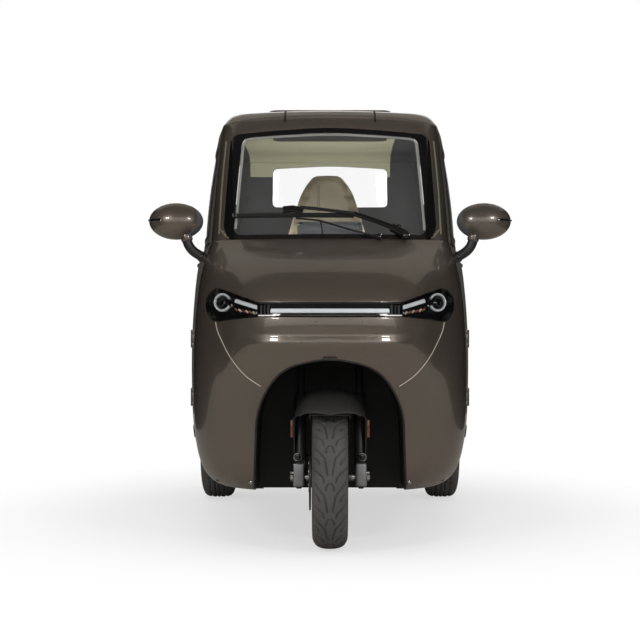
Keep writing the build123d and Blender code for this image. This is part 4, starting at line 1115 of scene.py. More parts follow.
# %% Fork ends
steering = nodes["steering_fork"]["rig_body"]
fork_pieces = []
for side in (-1, 1):
    def at(x, y, z):
        """A point out from the middle, back from the axle, and up."""
        return Vector((side * x * MM, FRONT_HUB.y + y * MM, z * MM))

    def on_leg(along_mm):
        """A point on the leg's middle line, measured up from the axle."""
        return FRONT_HUB + mm(side * 98, along_mm * sin(RAKE), along_mm * cos(RAKE))

    fork_pieces += [
        rounded_box("clamp", at(84, -25, 205), at(122, 24, 284), 7, cast_alloy, 4),
        bar("pinch_bolt", at(90, -18, 252), at(127, -18, 252), 5, bare_steel, 16),
        hexagon("pinch_head", at(126, -18, 252), at(131, -18, 252), 12, bare_steel),
        hexagon("axle_nut", at(121, 0, 236.5), at(131, 0, 236.5), 24, bare_steel),
        bar("axle_washer", at(119, 0, 236.5), at(122.5, 0, 236.5), 15, bare_steel, 24, 0.5),
        bar("axle_spacer", at(62, 0, 236.5), at(85, 0, 236.5), 13, bare_steel, 24),
        bar("stay_washer", at(107, 4, 304), at(107, -11, 302), 14, bare_steel, 24, 1.5),
        bar("stay_bolt", at(107, -6, 304), at(107, -21, 302), 11.5, gloss_black, 24, 6),
        bar("leg_collar", on_leg(226), on_leg(288), 23.5, frame_black, 28, 3),
        bar("drain_ring", at(103, 0, 204), at(103, 0, 198), 9, satin_black, 20, 1.5),
        rounded_box("reflector", at(122, 12, 366), at(132, 24, 425), 2, amber_acrylic),
        rounded_box("reflector_base", at(119, 10, 360), at(124, 26, 431), 1, satin_black),
    ]
fork_trim = join("fork_fittings", fork_pieces)
hand_over(smooth(fork_trim), steering, "alloy")
print("fork fittings", len(fork_trim.data.polygons), "faces")

# %% [markdown]
# ## Crease across the nose
#
# Under the light bar the real nose panel has a pressed crease: the band over it leans in towards its foot, the
# metal steps forward a few millimetres, and then it curves away again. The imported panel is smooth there, so its
# copy is divided finely round the crease and its points are moved. The step's flat face catches the two small
# lamps as square highlights.

# %% Nose crease
BAND_TOP, BAND_DEPTH = 764, 3.5
CREASE_Z = (709, 684, 630)  # where the step starts, its crest and its foot
CREASE_STEP = 8.0
CREASE_HALF = (215, 300)  # full depth out to here, none from there
CREASE_NET = 9  # longest edge of the finer net, inside the zone below, which is in metres
CREASE_ZONE_Z, CREASE_ZONE_HALF = (0.625, 0.77), 0.31
NOSE_LIMIT = cad_box[0][1] + 0.3 * MM


def ease(t):
    t = min(1.0, max(0.0, t))
    return t * t * (3 - 2 * t)


def crease_rise(x, z):
    top, crest, foot = CREASE_Z
    across = 1 - ease((abs(x) - CREASE_HALF[0]) / (CREASE_HALF[1] - CREASE_HALF[0]))
    if z > top:
        return -BAND_DEPTH * across * min(1.0, max(0.0, (BAND_TOP - z) / (BAND_TOP - top)))
    if z > crest:
        return across * (-BAND_DEPTH + (CREASE_STEP + BAND_DEPTH) * min(1.0, (top - z) / (top - crest)))
    return CREASE_STEP * across * (1 - ease((crest - z) / (crest - foot)))


def near_crease(point):
    in_height = CREASE_ZONE_Z[0] < point.z < CREASE_ZONE_Z[1]
    return in_height and point.y < FRONT_HUB.y and abs(point.x) < CREASE_ZONE_HALF


with editing(panels["nose_panel"].data) as shape:
    for _ in range(6):
        long_edges = [edge for edge in shape.edges if edge.calc_length() > CREASE_NET * MM
                      and any(near_crease(vertex.co) for vertex in edge.verts)]
        if not long_edges:
            break
        bmesh.ops.subdivide_edges(shape, edges=long_edges, cuts=1)
        bmesh.ops.triangulate(shape, faces=[face for face in shape.faces if len(face.verts) > 3])
    for vertex in shape.verts:
        if vertex.normal.y < -0.3:
            rise = crease_rise(vertex.co.x / MM, vertex.co.z / MM) * MM
            vertex.co.y = max(vertex.co.y - rise, min(vertex.co.y, NOSE_LIMIT))
smooth(panels["nose_panel"], 38)
print("nose panel triangles", len(panels["nose_panel"].data.polygons))

# %% [markdown]
# ## Windscreen frame, pillars and roof trim
#
# The screen is bonded behind a gloss black frame with a pale lip at its inner edge. On each pillar a pale
# taupe strip with three small strokes at its foot is a painted highlight. The roof has a black seal round the
# hatch, three hatch knobs, two drip strips and thin joints over the frame and at its corners.

# %% Screen and roof trims
CLEAR = [(0, 1414), (310, 1401), (331, 1046), (-331, 1046), (-310, 1401)]
LIP_FOOT_Z = 1062
HATCH = [(-231, 597), (231, 597), (231, 1193), (-231, 1193)]
KNOBS = ((0, 618, 11), (-101, 640, 4.5), (101, 640, 4.5))  # across, station, radius
ROOF_TOP_Z = 1533
pale_lip = grained("pale_screen_lip", "72736F", "83847F", 0.35, depth=0.05)
# A pale taupe that paints the highlight on the windscreen pillars.
pillar_highlight_paint = grained("taupe_pillar_painted_highlight", "7E7862", "8E8770", 0.32, depth=0.05, Metallic=0.4)
glass_skin = skin_of("windscreen")
shell_skin = skin_of("windscreen_surround", "windscreen_pillars", "bonnet", "roof", "roof_hatch")
lip_line = offset_outline(rounded_outline(CLEAR, [0.3, 0.1, 0.08, 0.08, 0.1], step=12), -7)
lip_line = lip_line[lip_line[:, 1] > LIP_FOOT_Z]
lip_line = lip_line[np.argsort(np.arctan2(lip_line[:, 0], lip_line[:, 1] - LIP_FOOT_Z))]
lip = ribbon("screen_lip", glass_skin, FRONT, lip_line, lifted(9, -0.5, 2.2, 1.0), pale_lip)
hand_over(lip, nodes["windscreen_surround"]["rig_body"], "trim_black")

pillar_trims = []
for side in (-1, 1):
    # The taupe strip and the three strokes on each pillar are a painted highlight.
    lines = [("pillar_strip", curve_through([(369, 1393), (378, 1230), (381.6, 1052)], 14), (8, -1, 1.8, 1.0),
              pillar_highlight_paint)]
    for step in range(3):
        x, z = 369 - 9 * step, 1064 - 11 * step
        hook = curve_through([(x + 14, z + 12), (x + 6, z + 1), (x - 5, z - 5)], 4)
        lines.append(("pillar_bracket", hook, (3.6, -1, 2.4, 1.0), pillar_highlight_paint))
    lines += [
        ("drip_strip", along([(159, 1513), (159, 1456)], 8), (7, -1, 2.0, 1.0), rubber_black),
        ("corner_joint", curve_through([(345, 1490), (358, 1462), (367, 1440)], 8), (2.0, -0.6, 0.5, 0.2),
         rubber_black),
    ]
    pillar_trims += [ribbon(name, shell_skin, FRONT, flipped(side, line), lifted(*section), material)
                     for name, line, section, material in lines]
header = curve_through([(-352, 1461), (-233, 1474), (0, 1480), (233, 1474), (352, 1461)], 14)
pillar_trims.append(ribbon("header_joint", shell_skin, FRONT, header, lifted(2.4, -0.6, 0.4, 0.2), rubber_black))
trims = join("pillar_and_roof_trims", pillar_trims)
hand_over(smooth(trims), nodes["windscreen_pillars"]["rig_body"], "trim_black")

top_skin = skin_of("roof", "roof_hatch")
hatch_line = rounded_outline(HATCH, 0.09, step=14)
hatch_pieces = [ribbon("hatch_seal", top_skin, TOP, hatch_line, round_section(4.5, 5.2, 8), rubber_black, closed=True)]
for x, station, radius in KNOBS:
    spot = drop(top_skin, TOP, x, station)[0]
    low = spot - mm(0, 0, 8)
    high = Vector((low.x, low.y, min(spot.z + 3 * MM, ROOF_TOP_Z * MM)))
    hatch_pieces.append(bar("hatch_knob", low, high, radius, gloss_black, 24, 2))
hatch_trim = join("hatch_trim", hatch_pieces)
hand_over(smooth(hatch_trim), nodes["roof_hatch"]["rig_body"], "trim_black")
print("trims", len(trims.data.polygons), len(hatch_trim.data.polygons), "faces")

# %% [markdown]
# ## Wiper
#
# One arm springs from the bonnet's edge, a second thin link runs beside it, and a long flat blade lies
# across the screen in a short bracket. Each is a moulding that follows the glass at its own height.

# %% Wiper
wiper_skin = skin_of("windscreen_surround", "windscreen_pillars", "windscreen", "bonnet")


def over_glass(name, line, width, low, high, material, step=14):
    return ribbon(name, wiper_skin, FRONT, along(line, step), lifted(width, low, high, min(1.5, width / 4)), material)


wiper_pieces = [
    over_glass("blade_rubber", [(-328, 1105), (80, 1102)], 3, 4.5, 11, rubber_black),
    over_glass("blade_spine", [(-328, 1111), (80, 1108)], 11, 10, 15, satin_black),
    over_glass("blade_end", [(-328, 1111), (-312, 1111)], 12, 9, 16, alloy, 6),
    over_glass("bracket", [(-157, 1124), (-124, 1127), (-91, 1118)], 22, 13, 22, gloss_black, 6),
    over_glass("arm", [(-100, 1128), (-40, 1122), (79, 1106)], 10, 20, 27, satin_black),
    over_glass("arm_root", [(79, 1106), (150, 1082), (216, 1056)], 15, 18, 27, gloss_black),
    over_glass("arm_hub", [(204, 1062), (254, 1036)], 24, 10, 26, gloss_black, 8),
    over_glass("link", [(-114, 1096), (-34, 1088), (57, 1059), (165, 1030)], 5.5, 9, 14, satin_black),
    over_glass("hose", [(-33, 1090), (-28, 1072), (-26, 1040)], 4, 4, 8, rubber_black, 8),
]
for x, z, radius, material in ((252, 1037, 13, gloss_black), (165, 1031, 11, gloss_black), (244, 1031, 4, chrome),
                               (260, 1033, 4, chrome), (169, 1034, 4, chrome), (228, 1066, 7, gloss_black)):
    spot, normal = drop(wiper_skin, FRONT, x, z, 20 if material == gloss_black else 27)
    wiper_pieces.append(stamped("wiper_cap", dome(radius, radius * 0.6, material), [(spot, normal)]))
    if material == gloss_black and x != 228:
        wiper_pieces.append(bar("wiper_post", spot - normal * 26 * MM, spot + normal * 1 * MM, radius * 0.8,
                                satin_black))
wiper_made = join("wiper_made", wiper_pieces)
hand_over(smooth(wiper_made), nodes["wiper"]["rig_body"], "trim_black", "wiper")
print("wiper", len(wiper_made.data.polygons), "faces")

# %% [markdown]
# ## Mirrors
#
# A mirror is an egg-shaped shell in body paint with a short black slot and two bright screws at its outer
# end, a glass at the back, and a thick curved black arm that stands on the body's shoulder.

# %% Mirrors
mirror_face = grained("silvered_mirror_glass", "C9CDCF", "D6DADB", 0.03, depth=0.0, Metallic=1.0)
MIRROR_CENTRE, MIRROR_RADII = (532, 235, 1098), (93.5, 61, 63.5)
EGG_PROFILE = [(sin(radians(a)), -cos(radians(a))) for a in range(0, 91, 6)]
EGG_BACK = [(1.0, 0.07), (0.985, 0.125), (0.955, 0.14), (0.93, 0.12), (0.915, 0.06)]


def egg_point(side, across, up, back):
    x, station, z = MIRROR_CENTRE
    return place(side * x + across * MIRROR_RADII[0], station + back * MIRROR_RADII[1], z + up * MIRROR_RADII[2])


def egg_surface(side, across, up):
    """A point on the front of the shell, and its normal."""
    back = -math.sqrt(max(0.0, 1 - across ** 2 - up ** 2))
    normal = Vector((across / MIRROR_RADII[0], back / MIRROR_RADII[1], up / MIRROR_RADII[2])).normalized()
    return egg_point(side, across, up, back), normal


for side, name in ((1, "left"), (-1, "right")):
    rows = EGG_PROFILE[1:] + EGG_BACK
    points, faces, count = [egg_point(side, 0, 0, -1)], [], 56
    for size, back in rows:
        points += [egg_point(side, size * cos(2 * pi * i / count), size * sin(2 * pi * i / count), back)
                   for i in range(count)]
    faces += [(0, 1 + i, 1 + (i + 1) % count) for i in range(count)]
    for j in range(len(rows) - 1):
        faces += [(1 + j * count + i, 1 + (j + 1) * count + i, 1 + (j + 1) * count + (i + 1) % count,
                   1 + j * count + (i + 1) % count)
                  for i in range(count)]
    shell = smooth(tidy_normals(new_piece(f"mirror_shell_{name}", points, faces, body_paint)), 50)
    glass_points = [egg_point(side, 0, 0, 0.08)]
    glass_points += [egg_point(side, 0.918 * cos(2 * pi * i / count), 0.918 * sin(2 * pi * i / count), 0.062)
                                                     for i in range(count)]
    face_glass = smooth(new_piece("mirror_glass", glass_points,
                                  [(0, 1 + (i + 1) % count, 1 + i) for i in range(count)], mirror_face))
    if sum(face.normal.y for face in face_glass.data.polygons) < 0:
        face_glass.data.flip_normals()
    slot_line = [egg_surface(side, side * a, 0.03) for a in np.linspace(0.5, 0.965, 7)]
    slot = tube("mirror_slot", [spot - normal * 2.2 * MM for spot, normal in slot_line], 5.5, gloss_black, 12)
    dots = stamped("mirror_dots", dome(4.2, 2.6, chrome),
                   [(spot + normal * 2.5 * MM, normal) for spot, normal in (slot_line[0], slot_line[-1])])
    path = [place(side * 497, 222, 1062), place(side * 496, 221, 1046), place(side * 491, 221, 1020),
            place(side * 477, 222, 998),
            place(side * 455, 224, 982), place(side * 428, 226, 968)]
    arm = tube("mirror_arm", path, 17, satin_black, 20)
    collar = bar("mirror_collar", place(side * 492, 221, 1028), place(side * 498, 222, 1056), 20, body_paint, 28, 5)
    ring = bar("mirror_ring", place(side * 447, 225, 977), place(side * 440, 225.5, 973), 19, gloss_black, 28, 2)
    made = join(f"mirror_{name}_made", [shell, face_glass, slot, dots, arm, collar, ring])
    hand_over(smooth(made, 50), nodes[f"mirror_{name}"]["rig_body"], "body_paint", f"mirror_{name}")
    print(f"mirror_{name}", len(made.data.polygons), "faces")

# %% [markdown]
# ## Leather and padding
#
# The seats are foam under a beige leathercloth cover. Each pad starts from its plain solid, a little
# smaller, is remeshed to an even net and blown up as cloth, so it crowns between its corners and pulls in at
# its sides. Its points may move only so far. Piping and stitched seams are laid on afterwards.

# %% Leather and padding
def leather(name, hex_dark, hex_light):
    """Embossed leathercloth: cells of about 3 mm in the bump, sheen on top, and a tone that varies a little at random.
    """
    material, tree, shader = new_material(name, Roughness=0.5, Sheen_Weight=0.15, Sheen_Roughness=0.4)
    coords = object_coords(tree)
    soil = add_node(tree, "ShaderNodeTexNoise", Vector=coords, Scale=6.0, Detail=5.0)
    tree.links.new(ramp(tree, soil.outputs["Fac"], [(0.3, hex_dark), (0.7, hex_light)]), shader.inputs["Base Color"])
    cells = add_node(tree, "ShaderNodeTexVoronoi", Vector=coords, Scale=1 / (3.0 * MM))
    creases = add_node(tree, "ShaderNodeTexNoise", Vector=coords, Scale=45.0, Detail=3.0)
    height = add_node(tree, "ShaderNodeMath", {"operation": "MULTIPLY_ADD"}, i0=creases.outputs["Fac"], i1=1.5,
                      i2=cells.outputs["Distance"])
    bump = add_node(tree, "ShaderNodeBump", Height=height.outputs[0], Strength=0.35, Distance=0.4 * MM)
    tree.links.new(bump.outputs["Normal"], shader.inputs["Normal"])
    return material


seat_leather = leather("beige_leathercloth", "857B64", "A0967C")
seam_thread = grained("beige_stitching", "6E6552", "7E755F", 0.6, grain_mm=0.8)
VOXEL_MM = 6.0


def padded(name, node, material, shrink_mm, cap_mm, pressure, rest=None, net=VOXEL_MM):
    """The node's solid as a blown-up pad. rest tells where it lies on something: (axis, value, side)."""
    pad = merged_copy(node, name)
    pad.data.materials.clear()
    pad.data.materials.append(material)
    remesh = pad.modifiers.new("net", "REMESH")
    remesh.mode, remesh.voxel_size = "VOXEL", net * MM
    shrink = pad.modifiers.new("shrink", "DISPLACE")
    shrink.strength, shrink.mid_level = -shrink_mm * MM, 0.0
    even = pad.modifiers.new("even", "SMOOTH")
    even.factor, even.iterations = 0.5, 4
    pad = applied(pad)
    before = np.array([vertex.co for vertex in pad.data.vertices])
    cloth = pad.modifiers.new("cloth", "CLOTH")
    cloth.settings.quality = 5
    cloth.settings.mass = 0.4
    cloth.settings.tension_stiffness = 12
    cloth.settings.compression_stiffness = 12
    cloth.settings.bending_stiffness = 2
    cloth.settings.use_pressure = True
    cloth.settings.uniform_pressure_force = pressure
    cloth.settings.effector_weights.gravity = 0
    cloth.collision_settings.use_collision = False
    cloth.point_cache.frame_start, cloth.point_cache.frame_end = 1, 20
    for frame_number in range(1, 21):
        scene.frame_set(frame_number)
    swollen = pad.evaluated_get(bpy.context.evaluated_depsgraph_get())
    after = np.array([vertex.co for vertex in swollen.data.vertices])
    pad.modifiers.clear()
    scene.frame_set(1)
    move = after - before
    length = np.linalg.norm(move, axis=1, keepdims=True)
    after = before + move * np.minimum(1.0, cap_mm * MM / np.maximum(length, 1e-9))
    if rest:
        axis, value, side = rest
        after[:, axis] = np.maximum(after[:, axis], value) if side > 0 else np.minimum(after[:, axis], value)
    pad.data.vertices.foreach_set("co", after.ravel())
    pad.data.update()
    soften = pad.modifiers.new("soften", "SMOOTH")
    soften.factor, soften.iterations = 0.5, 2
    finer = pad.modifiers.new("finer", "SUBSURF")
    finer.levels = finer.render_levels = 1
    pad = applied(pad)
    pad.data.shade_smooth()
    print(name, len(pad.data.polygons), "faces, largest move", round(float(length.max()) / MM, 1), "mm")
    return pad


def surface_of(*pieces):
    """The faces of modelled pieces, to drop points on."""
    points, faces = [], []
    for piece in pieces:
        base = len(points)
        points += [vertex.co.copy() for vertex in piece.data.vertices]
        faces += [[base + i for i in face.vertices] for face in piece.data.polygons]
    return BVHTree.FromPolygons(points, faces)


# %% [markdown]
# ## Seats
#
# The driver's seat has a narrow high back with piping round its face and a double seam down it. The bench
# behind is a plain pad with sewn channels. The seams are cords and stitches on the blown surface.

# %% Seats
seat_back = padded("driver_seat_back_pad", "driver_seat_back", seat_leather, 7, 16, 4)
seat_pad = padded("driver_seat_cushion_pad", "driver_seat_cushion", seat_leather, 8, 22, 4,
                  rest=(2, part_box("driver_seat_cushion")[0][2], 1))
bench_pad = padded("rear_bench_cushion_pad", "rear_bench_cushion", seat_leather, 8, 22, 4,
                   rest=(2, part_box("rear_bench_cushion")[0][2], 1), net=9.0)
bench_back = padded("rear_bench_back_pad", "rear_bench_back", seat_leather, 7, 16, 4, net=9.0)
BACK_FACE = [(62, 1369), (106, 1304), (146, 1190), (227, 900), (230, 658)]
face_line = rounded_outline([(x - 12, 20 + z * 0.97) for x, z in BACK_FACE]
                            + [(-x - 12, 20 + z * 0.97) for x, z in BACK_FACE[::-1]],
                            0.35, step=12)
face_line = offset_outline(face_line, -13)
back_surface = surface_of(seat_back)
seams = [ribbon("back_piping", back_surface, FRONT, face_line, round_section(3.2, 1.2, 8), seat_leather, closed=True)]
for x in (-50, -43):
    seams.append(ribbon("back_seam", back_surface, FRONT, along([(x, 1306), (x, 700)], 12),
                        round_section(1.4, 1.0, 6), seam_thread))
seams.append(ribbon("back_cross_seam", back_surface, FRONT, along([(-178, 1010), (154, 1010)], 12),
                    round_section(2.0, 1.6, 6), seam_thread))
for pad, left, right, front, rear in ((seat_pad, -215, 215, 745, 1130), (bench_pad, -335, 335, 1372, 1700)):
    surface = surface_of(pad)
    edge = rounded_outline([(left, front), (right, front), (right, rear), (left, rear)], 0.12, step=12)
    seams.append(ribbon("pad_piping", surface, TOP, edge, round_section(3.0, 1.4, 8), seat_leather, closed=True))
    for u in (left * 0.55, right * 0.55):
        seams.append(ribbon("pad_channel", surface, TOP, along([(u, front + 6), (u, rear - 6)], 12),
                            round_section(2.2, 2.0, 6), seam_thread))
seam_piece = join("seat_seams", seams)
for pad, node in ((seat_back, "driver_seat_back"), (seat_pad, "driver_seat_cushion"), (bench_pad, "rear_bench_cushion"),
                  (bench_back, "rear_bench_back")):
    hand_over(pad, nodes[node]["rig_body"], "seat_leather", node)
hand_over(smooth(seam_piece), nodes["driver_seat_back"]["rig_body"], "seat_leather")

# %% [markdown]
# ## Dashboard display and handlebar grips
#
# A grey display with a rolled rim stands on the dashboard behind the glass. The handlebar ends in ribbed
# rubber grips, made as turned rings along each end.

# %% Dashboard and handlebar
screen_grey = grained("display_glass", "46484B", "505256", 0.22, depth=0.02, Coat_Weight=0.5)
bezel_grey = grained("display_bezel", "5A5C5E", "6A6C6E", 0.4, depth=0.1)
dash = [
    rounded_box("display", place(-112, 176, 1032), place(112, 196, 1094), 7, bezel_grey, 4),
    rounded_box("display_glass", place(-103, 174, 1040), place(103, 178, 1087), 3, screen_grey),
    rounded_box("display_foot", place(-60, 186, 1012), place(60, 206, 1040), 6, satin_black),
]
for side in (-1, 1):
    dash.append(tube("display_corner",
                     [place(side * 96, 173, 1090), place(side * 108, 173, 1087), place(side * 110, 173, 1074)],
                     1.6, chrome))
display = join("dashboard_display", dash)
hand_over(smooth(display), nodes["dashboard"]["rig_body"], "interior_grey")

grip_rubber = grained("ribbed_grip_rubber", "1A1A1B", "242425", 0.6, grain_mm=0.8)
BAR_S = 860


def bar_spot(x, back):
    return FRONT_HUB + mm(x, BAR_S * sin(RAKE) + back * cos(RAKE), BAR_S * cos(RAKE) - back * sin(RAKE))


bar_pieces = []
for side in (-1, 1):
    start, end = bar_spot(side * 190, 60), bar_spot(side * 280, 115)
    run = (end - start).normalized()
    for i in range(10):
        bar_pieces.append(bar("grip_rib", start + run * (8 + i * 9.5) * MM, start + run * (13 + i * 9.5) * MM,
                              17.4, grip_rubber, 24, 1.2))
    bar_pieces.append(bar("grip_collar", start - run * 6 * MM, start + run * 4 * MM, 19, satin_black, 24, 2))
    lever = [start + run * 2 * MM + mm(0, -26, 2), start + run * 40 * MM + mm(0, -38, 0),
             start + run * 95 * MM + mm(0, -34, -2)]
    bar_pieces.append(tube("brake_lever", lever, 4.5, alloy, 10))
bar_fittings = join("handlebar_fittings", bar_pieces)
hand_over(smooth(bar_fittings), nodes["handlebar"]["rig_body"], "trim_black")

# %% [markdown]
# ## Window rubbers, handles and side trim
#
# Every side and rear window has a black rubber round it, laid on the panel just outside the glass. Each door
# has a flush pull handle in a black cup with a lock beside it, and a protective strip along its foot.

# %% Window rubbers and handles
DOOR_WINDOW = [(545, 1068), (1190, 1068), (1165, 1398), (655, 1398)]
QUARTER_WINDOW = [(1305, 1068), (1800, 1068), (1760, 1398), (1305, 1398)]
REAR_WINDOW = [(-258, 1266), (258, 1266), (254, 1436), (0, 1450), (-254, 1436)]


def rubber_round(name, skin, view, corners, shares, grow=4.5):
    return ribbon(name, skin, view, offset_outline(rounded_outline(corners, shares, step=12), grow),
                  lifted(9, -2, 1.0, 0.8),
                  rubber_black, closed=True)


handle_black = grained("moulded_handle", "161617", "202021", 0.3, grain_mm=1.0, Coat_Weight=0.4)
for side, name, view in ((1, "left", LEFT), (-1, "right", RIGHT)):
    door_skin = skin_of(f"door_{name}")
    door_body = nodes[f"door_{name}"]["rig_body"]
    pieces = [rubber_round("door_rubber", door_skin, view, DOOR_WINDOW, 0.12),
              ribbon("handle_cup", door_skin, view, along([(1092, 972), (1200, 972)], 9), lifted(34, -1, 1.6, 1.2),
                     satin_black),
              ribbon("handle_pull", door_skin, view, along([(1098, 976), (1186, 976)], 9), lifted(17, 1, 11, 4),
                     handle_black),
              ribbon("belt_strip", door_skin, view, along([(500, 1036), (1222, 1036)], 14), lifted(5, -1, 1.4, 0.9),
                     rubber_black),
              ribbon("foot_strip", door_skin, view, along([(500, 345), (1215, 345)], 14), lifted(26, -1, 3, 2),
                     satin_black)]
    spot, normal = drop(door_skin, view, 1206, 940)
    pieces.append(stamped("door_lock", dome(9, 4, chrome, 24), [(spot, normal)]))
    door_trim = join(f"door_{name}_trim", pieces)
    hand_over(smooth(door_trim), door_body, "trim_black")
    side_skin = skin_of(f"body_side_{name}", "rear_panel", f"front_corner_{name}")
    arch_u, half, top = 1600, 280, 554
    well = rounded_outline([(arch_u - half, 120), (arch_u + half, 120), (arch_u + half, top), (arch_u - half, top)],
                           [0, 0, 0.45, 0.45], step=12)
    well = np.array([point for point in offset_outline(well, 4) if point[1] > 196])
    well = well[np.argsort(-np.arctan2(well[:, 1] - 200, well[:, 0] - arch_u))]
    pieces = [rubber_round("quarter_rubber", side_skin, view, QUARTER_WINDOW, 0.12),
              ribbon("rear_arch_lip", side_skin, view, well, lifted(9, -2, 2.6, 1.6), rubber_black)]
    for u, v in ((1262, 1120), (1262, 760)):
        spot, normal = drop(side_skin, view, u, v)
        if spot is not None:
            pieces.append(stamped("side_plug", dome(6, 1.6, satin_black), [(spot, normal)]))
    side_trim = join(f"body_side_{name}_trim", pieces)
    hand_over(smooth(side_trim), nodes[f"body_side_{name}"]["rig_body"], "trim_black")
print("door trim", len(door_trim.data.polygons), "faces, side trim", len(side_trim.data.polygons))

# %% [markdown]
# ## Rear lamps, lid and blank plate
#
# The photograph doesn't show the rear. The tail lamps get ribbed lenses with an amber and a clear part, and
# the lid gets a blank number plate in a black holder, a grip strip and a lock, as such vehicles have.

# %% Rear lamps and plate
tail_red = grained("ribbed_red_lens", "8E1512", "A51D18", 0.16, depth=0.04, Coat_Weight=0.8)
tail_amber = grained("ribbed_amber_lens", "B45A18", "C96C22", 0.16, depth=0.04, Coat_Weight=0.8)
tail_clear = grained("ribbed_clear_lens", "B6B4B0", "C8C6C2", 0.16, depth=0.04, Coat_Weight=0.8)
blank_plate = grained("blank_enamelled_plate", "D6D6D2", "E2E2DE", 0.35, depth=0.1)
lamp_skin = skin_of("tail_lamps")
rear_skin = skin_of("rear_panel", "boot_lid")
dress("tail_lamps", lamp_black)
lamp_pieces = []
for side in (-1, 1):
    for i in range(17):
        z = 652 + i * 14.2
        material = tail_amber if 5 <= i < 9 else tail_clear if 2 <= i < 5 else tail_red
        inset = 22 if i in (0, 16) else 9
        row = [(x, z) for x in np.linspace(405 + inset, 525, 14)]
        lamp_pieces.append(ribbon("lens_rib", lamp_skin, REAR, flipped(side, row),
                                  lifted(11.6, -1.0, 1.8, 0.8), material))
tail_ribs = join("tail_lamp_ribs", lamp_pieces)
hand_over(smooth(tail_ribs), nodes["tail_lamps"]["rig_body"], "tail_lens")
window_rubber = rubber_round("rear_window_rubber", rear_skin, REAR, REAR_WINDOW, [0.12, 0.12, 0.12, 0.3, 0.12])
low_strip = ribbon("rear_foot_strip", rear_skin, REAR, along([(-360, 262), (360, 262)], 16),
                   lifted(46, -1, 4, 3), satin_black)
reflectors = stamped("rear_reflectors", dome(21, 4, tail_red, 28),
                     [drop(rear_skin, REAR, side * 318, 372) for side in (-1, 1)])
rear_trim = join("rear_panel_trim", [window_rubber, low_strip, reflectors])
hand_over(smooth(rear_trim), nodes["rear_panel"]["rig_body"], "trim_black")
lid_skin = skin_of("boot_lid")
lid_pieces = [
    ribbon("plate_holder", lid_skin, REAR, along([(-118, 842), (118, 842)], 12), lifted(112, -1, 3, 2), satin_black),
    ribbon("plate", lid_skin, REAR, along([(-110, 842), (110, 842)], 12), lifted(98, 2, 4.6, 1), blank_plate),
    ribbon("grip_strip", lid_skin, REAR, along([(-64, 912), (64, 912)], 10), lifted(12, -1, 8, 3), handle_black),
    stamped("plate_screws", dome(4, 2, chrome), [drop(lid_skin, REAR, x, z, 4.4) for x in (-84, 84) for z in (868,)]),
    stamped("lid_lock", dome(9, 3, chrome, 24), [drop(lid_skin, REAR, 170, 880)]),
]
lid_trim = join("boot_lid_trim", lid_pieces)
hand_over(smooth(lid_trim), nodes["boot_lid"]["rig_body"], "trim_black")
print("rear pieces", len(tail_ribs.data.polygons), len(rear_trim.data.polygons), len(lid_trim.data.polygons), "faces")

# %% [markdown]
# ## Rear tyres and wheel fittings
#
# The rear tyres are wider, with straight circumferential grooves and short side cuts, made by the same
# pressed grid and Geometry Nodes tree as the front one. The wheels get hub caps, nuts and a bright lip.

# %% Rear tyres and wheels
REAR_CROWN = [(0, 246.9), (22, 246.6), (40, 244.6), (52, 239.5), (60, 231.0), (65, 219.0)]
REAR_WALL = [(65, 219.0), (68.6, 206.0), (68.8, 193.0), (66.0, 177.0), (60.0, 163.0), (55.2, 155.2)]
REAR_GROOVES = [[(9, -30), (9, 160)], [(30, -30), (30, 160)], [(36, 10), (62, 2)], [(36, 36), (62, 28)],
                [(14, 22), (25, 28)]]
for side, name in ((1, "left"), (-1, "right")):
    hub = Vector((side * 0.475, REAR_HUB.y, REAR_HUB.z))
    wheel = nodes[f"rear_rim_{name}"]["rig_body"]
    tyre(f"rear_tyre_{name}_tread", REAR_CROWN, REAR_WALL, REAR_GROOVES, 28, 2.2, 5.0, 3.4, hub, wheel,
         f"rear_tyre_{name}")
    face = hub + Vector((side * 24 * MM, 0, 0))
    fittings = [bar("hub_cap", face - mm(side * 3, 0, 0), face + mm(side * 14, 0, 0), 34, gloss_black, 40, 5),
                bar("hub_disc", face + mm(side * 10, 0, 0), face + mm(side * 16, 0, 0), 22, alloy, 40, 2)]
    for i in range(5):
        turn = 2 * pi * i / 5 + 0.3
        nut = face + mm(0, 58 * sin(turn), 58 * cos(turn))
        fittings.append(hexagon("wheel_nut", nut - mm(side * 2, 0, 0), nut + mm(side * 9, 0, 0), 17, bare_steel))
    lip_profile = [(side * 56, 148.6), (side * 57.5, 150), (side * 57.5, 154), (side * 55, 155)]
    fittings.append(turned("rim_lip", lip_profile, hub, 96, alloy))
    made = join(f"rear_wheel_fittings_{name}", fittings)
    hand_over(smooth(made), wheel, "alloy")
front_fit = []
for side in (-1, 1):
    front_fit.append(turned("front_rim_lip", [(side * 46, 148.6), (side * 47.5, 150), (side * 47.5, 154),
                                              (side * 45, 155)], FRONT_HUB, 96, alloy))
    front_fit.append(bar("hub_ring", FRONT_HUB + mm(side * 52, 0, 0), FRONT_HUB + mm(side * 60.5, 0, 0), 33, alloy,
                         36, 2))
for i in range(6):
    turn = 2 * pi * i / 6
    head = FRONT_HUB + mm(-72, 44 * sin(turn), 44 * cos(turn))
    front_fit.append(bar("disc_bolt", head, head + mm(5, 0, 0), 6, bare_steel, 16, 1))
front_fit.append(turned("disc_face", [(-68.7, 40), (-68.7, 109.6), (-63.3, 109.6), (-63.3, 40)], FRONT_HUB, 96,
                        brake_steel))
front_fittings = join("front_wheel_fittings", front_fit)
hand_over(smooth(front_fittings), nodes["front_rim"]["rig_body"], "alloy")
print("wheels dressed")

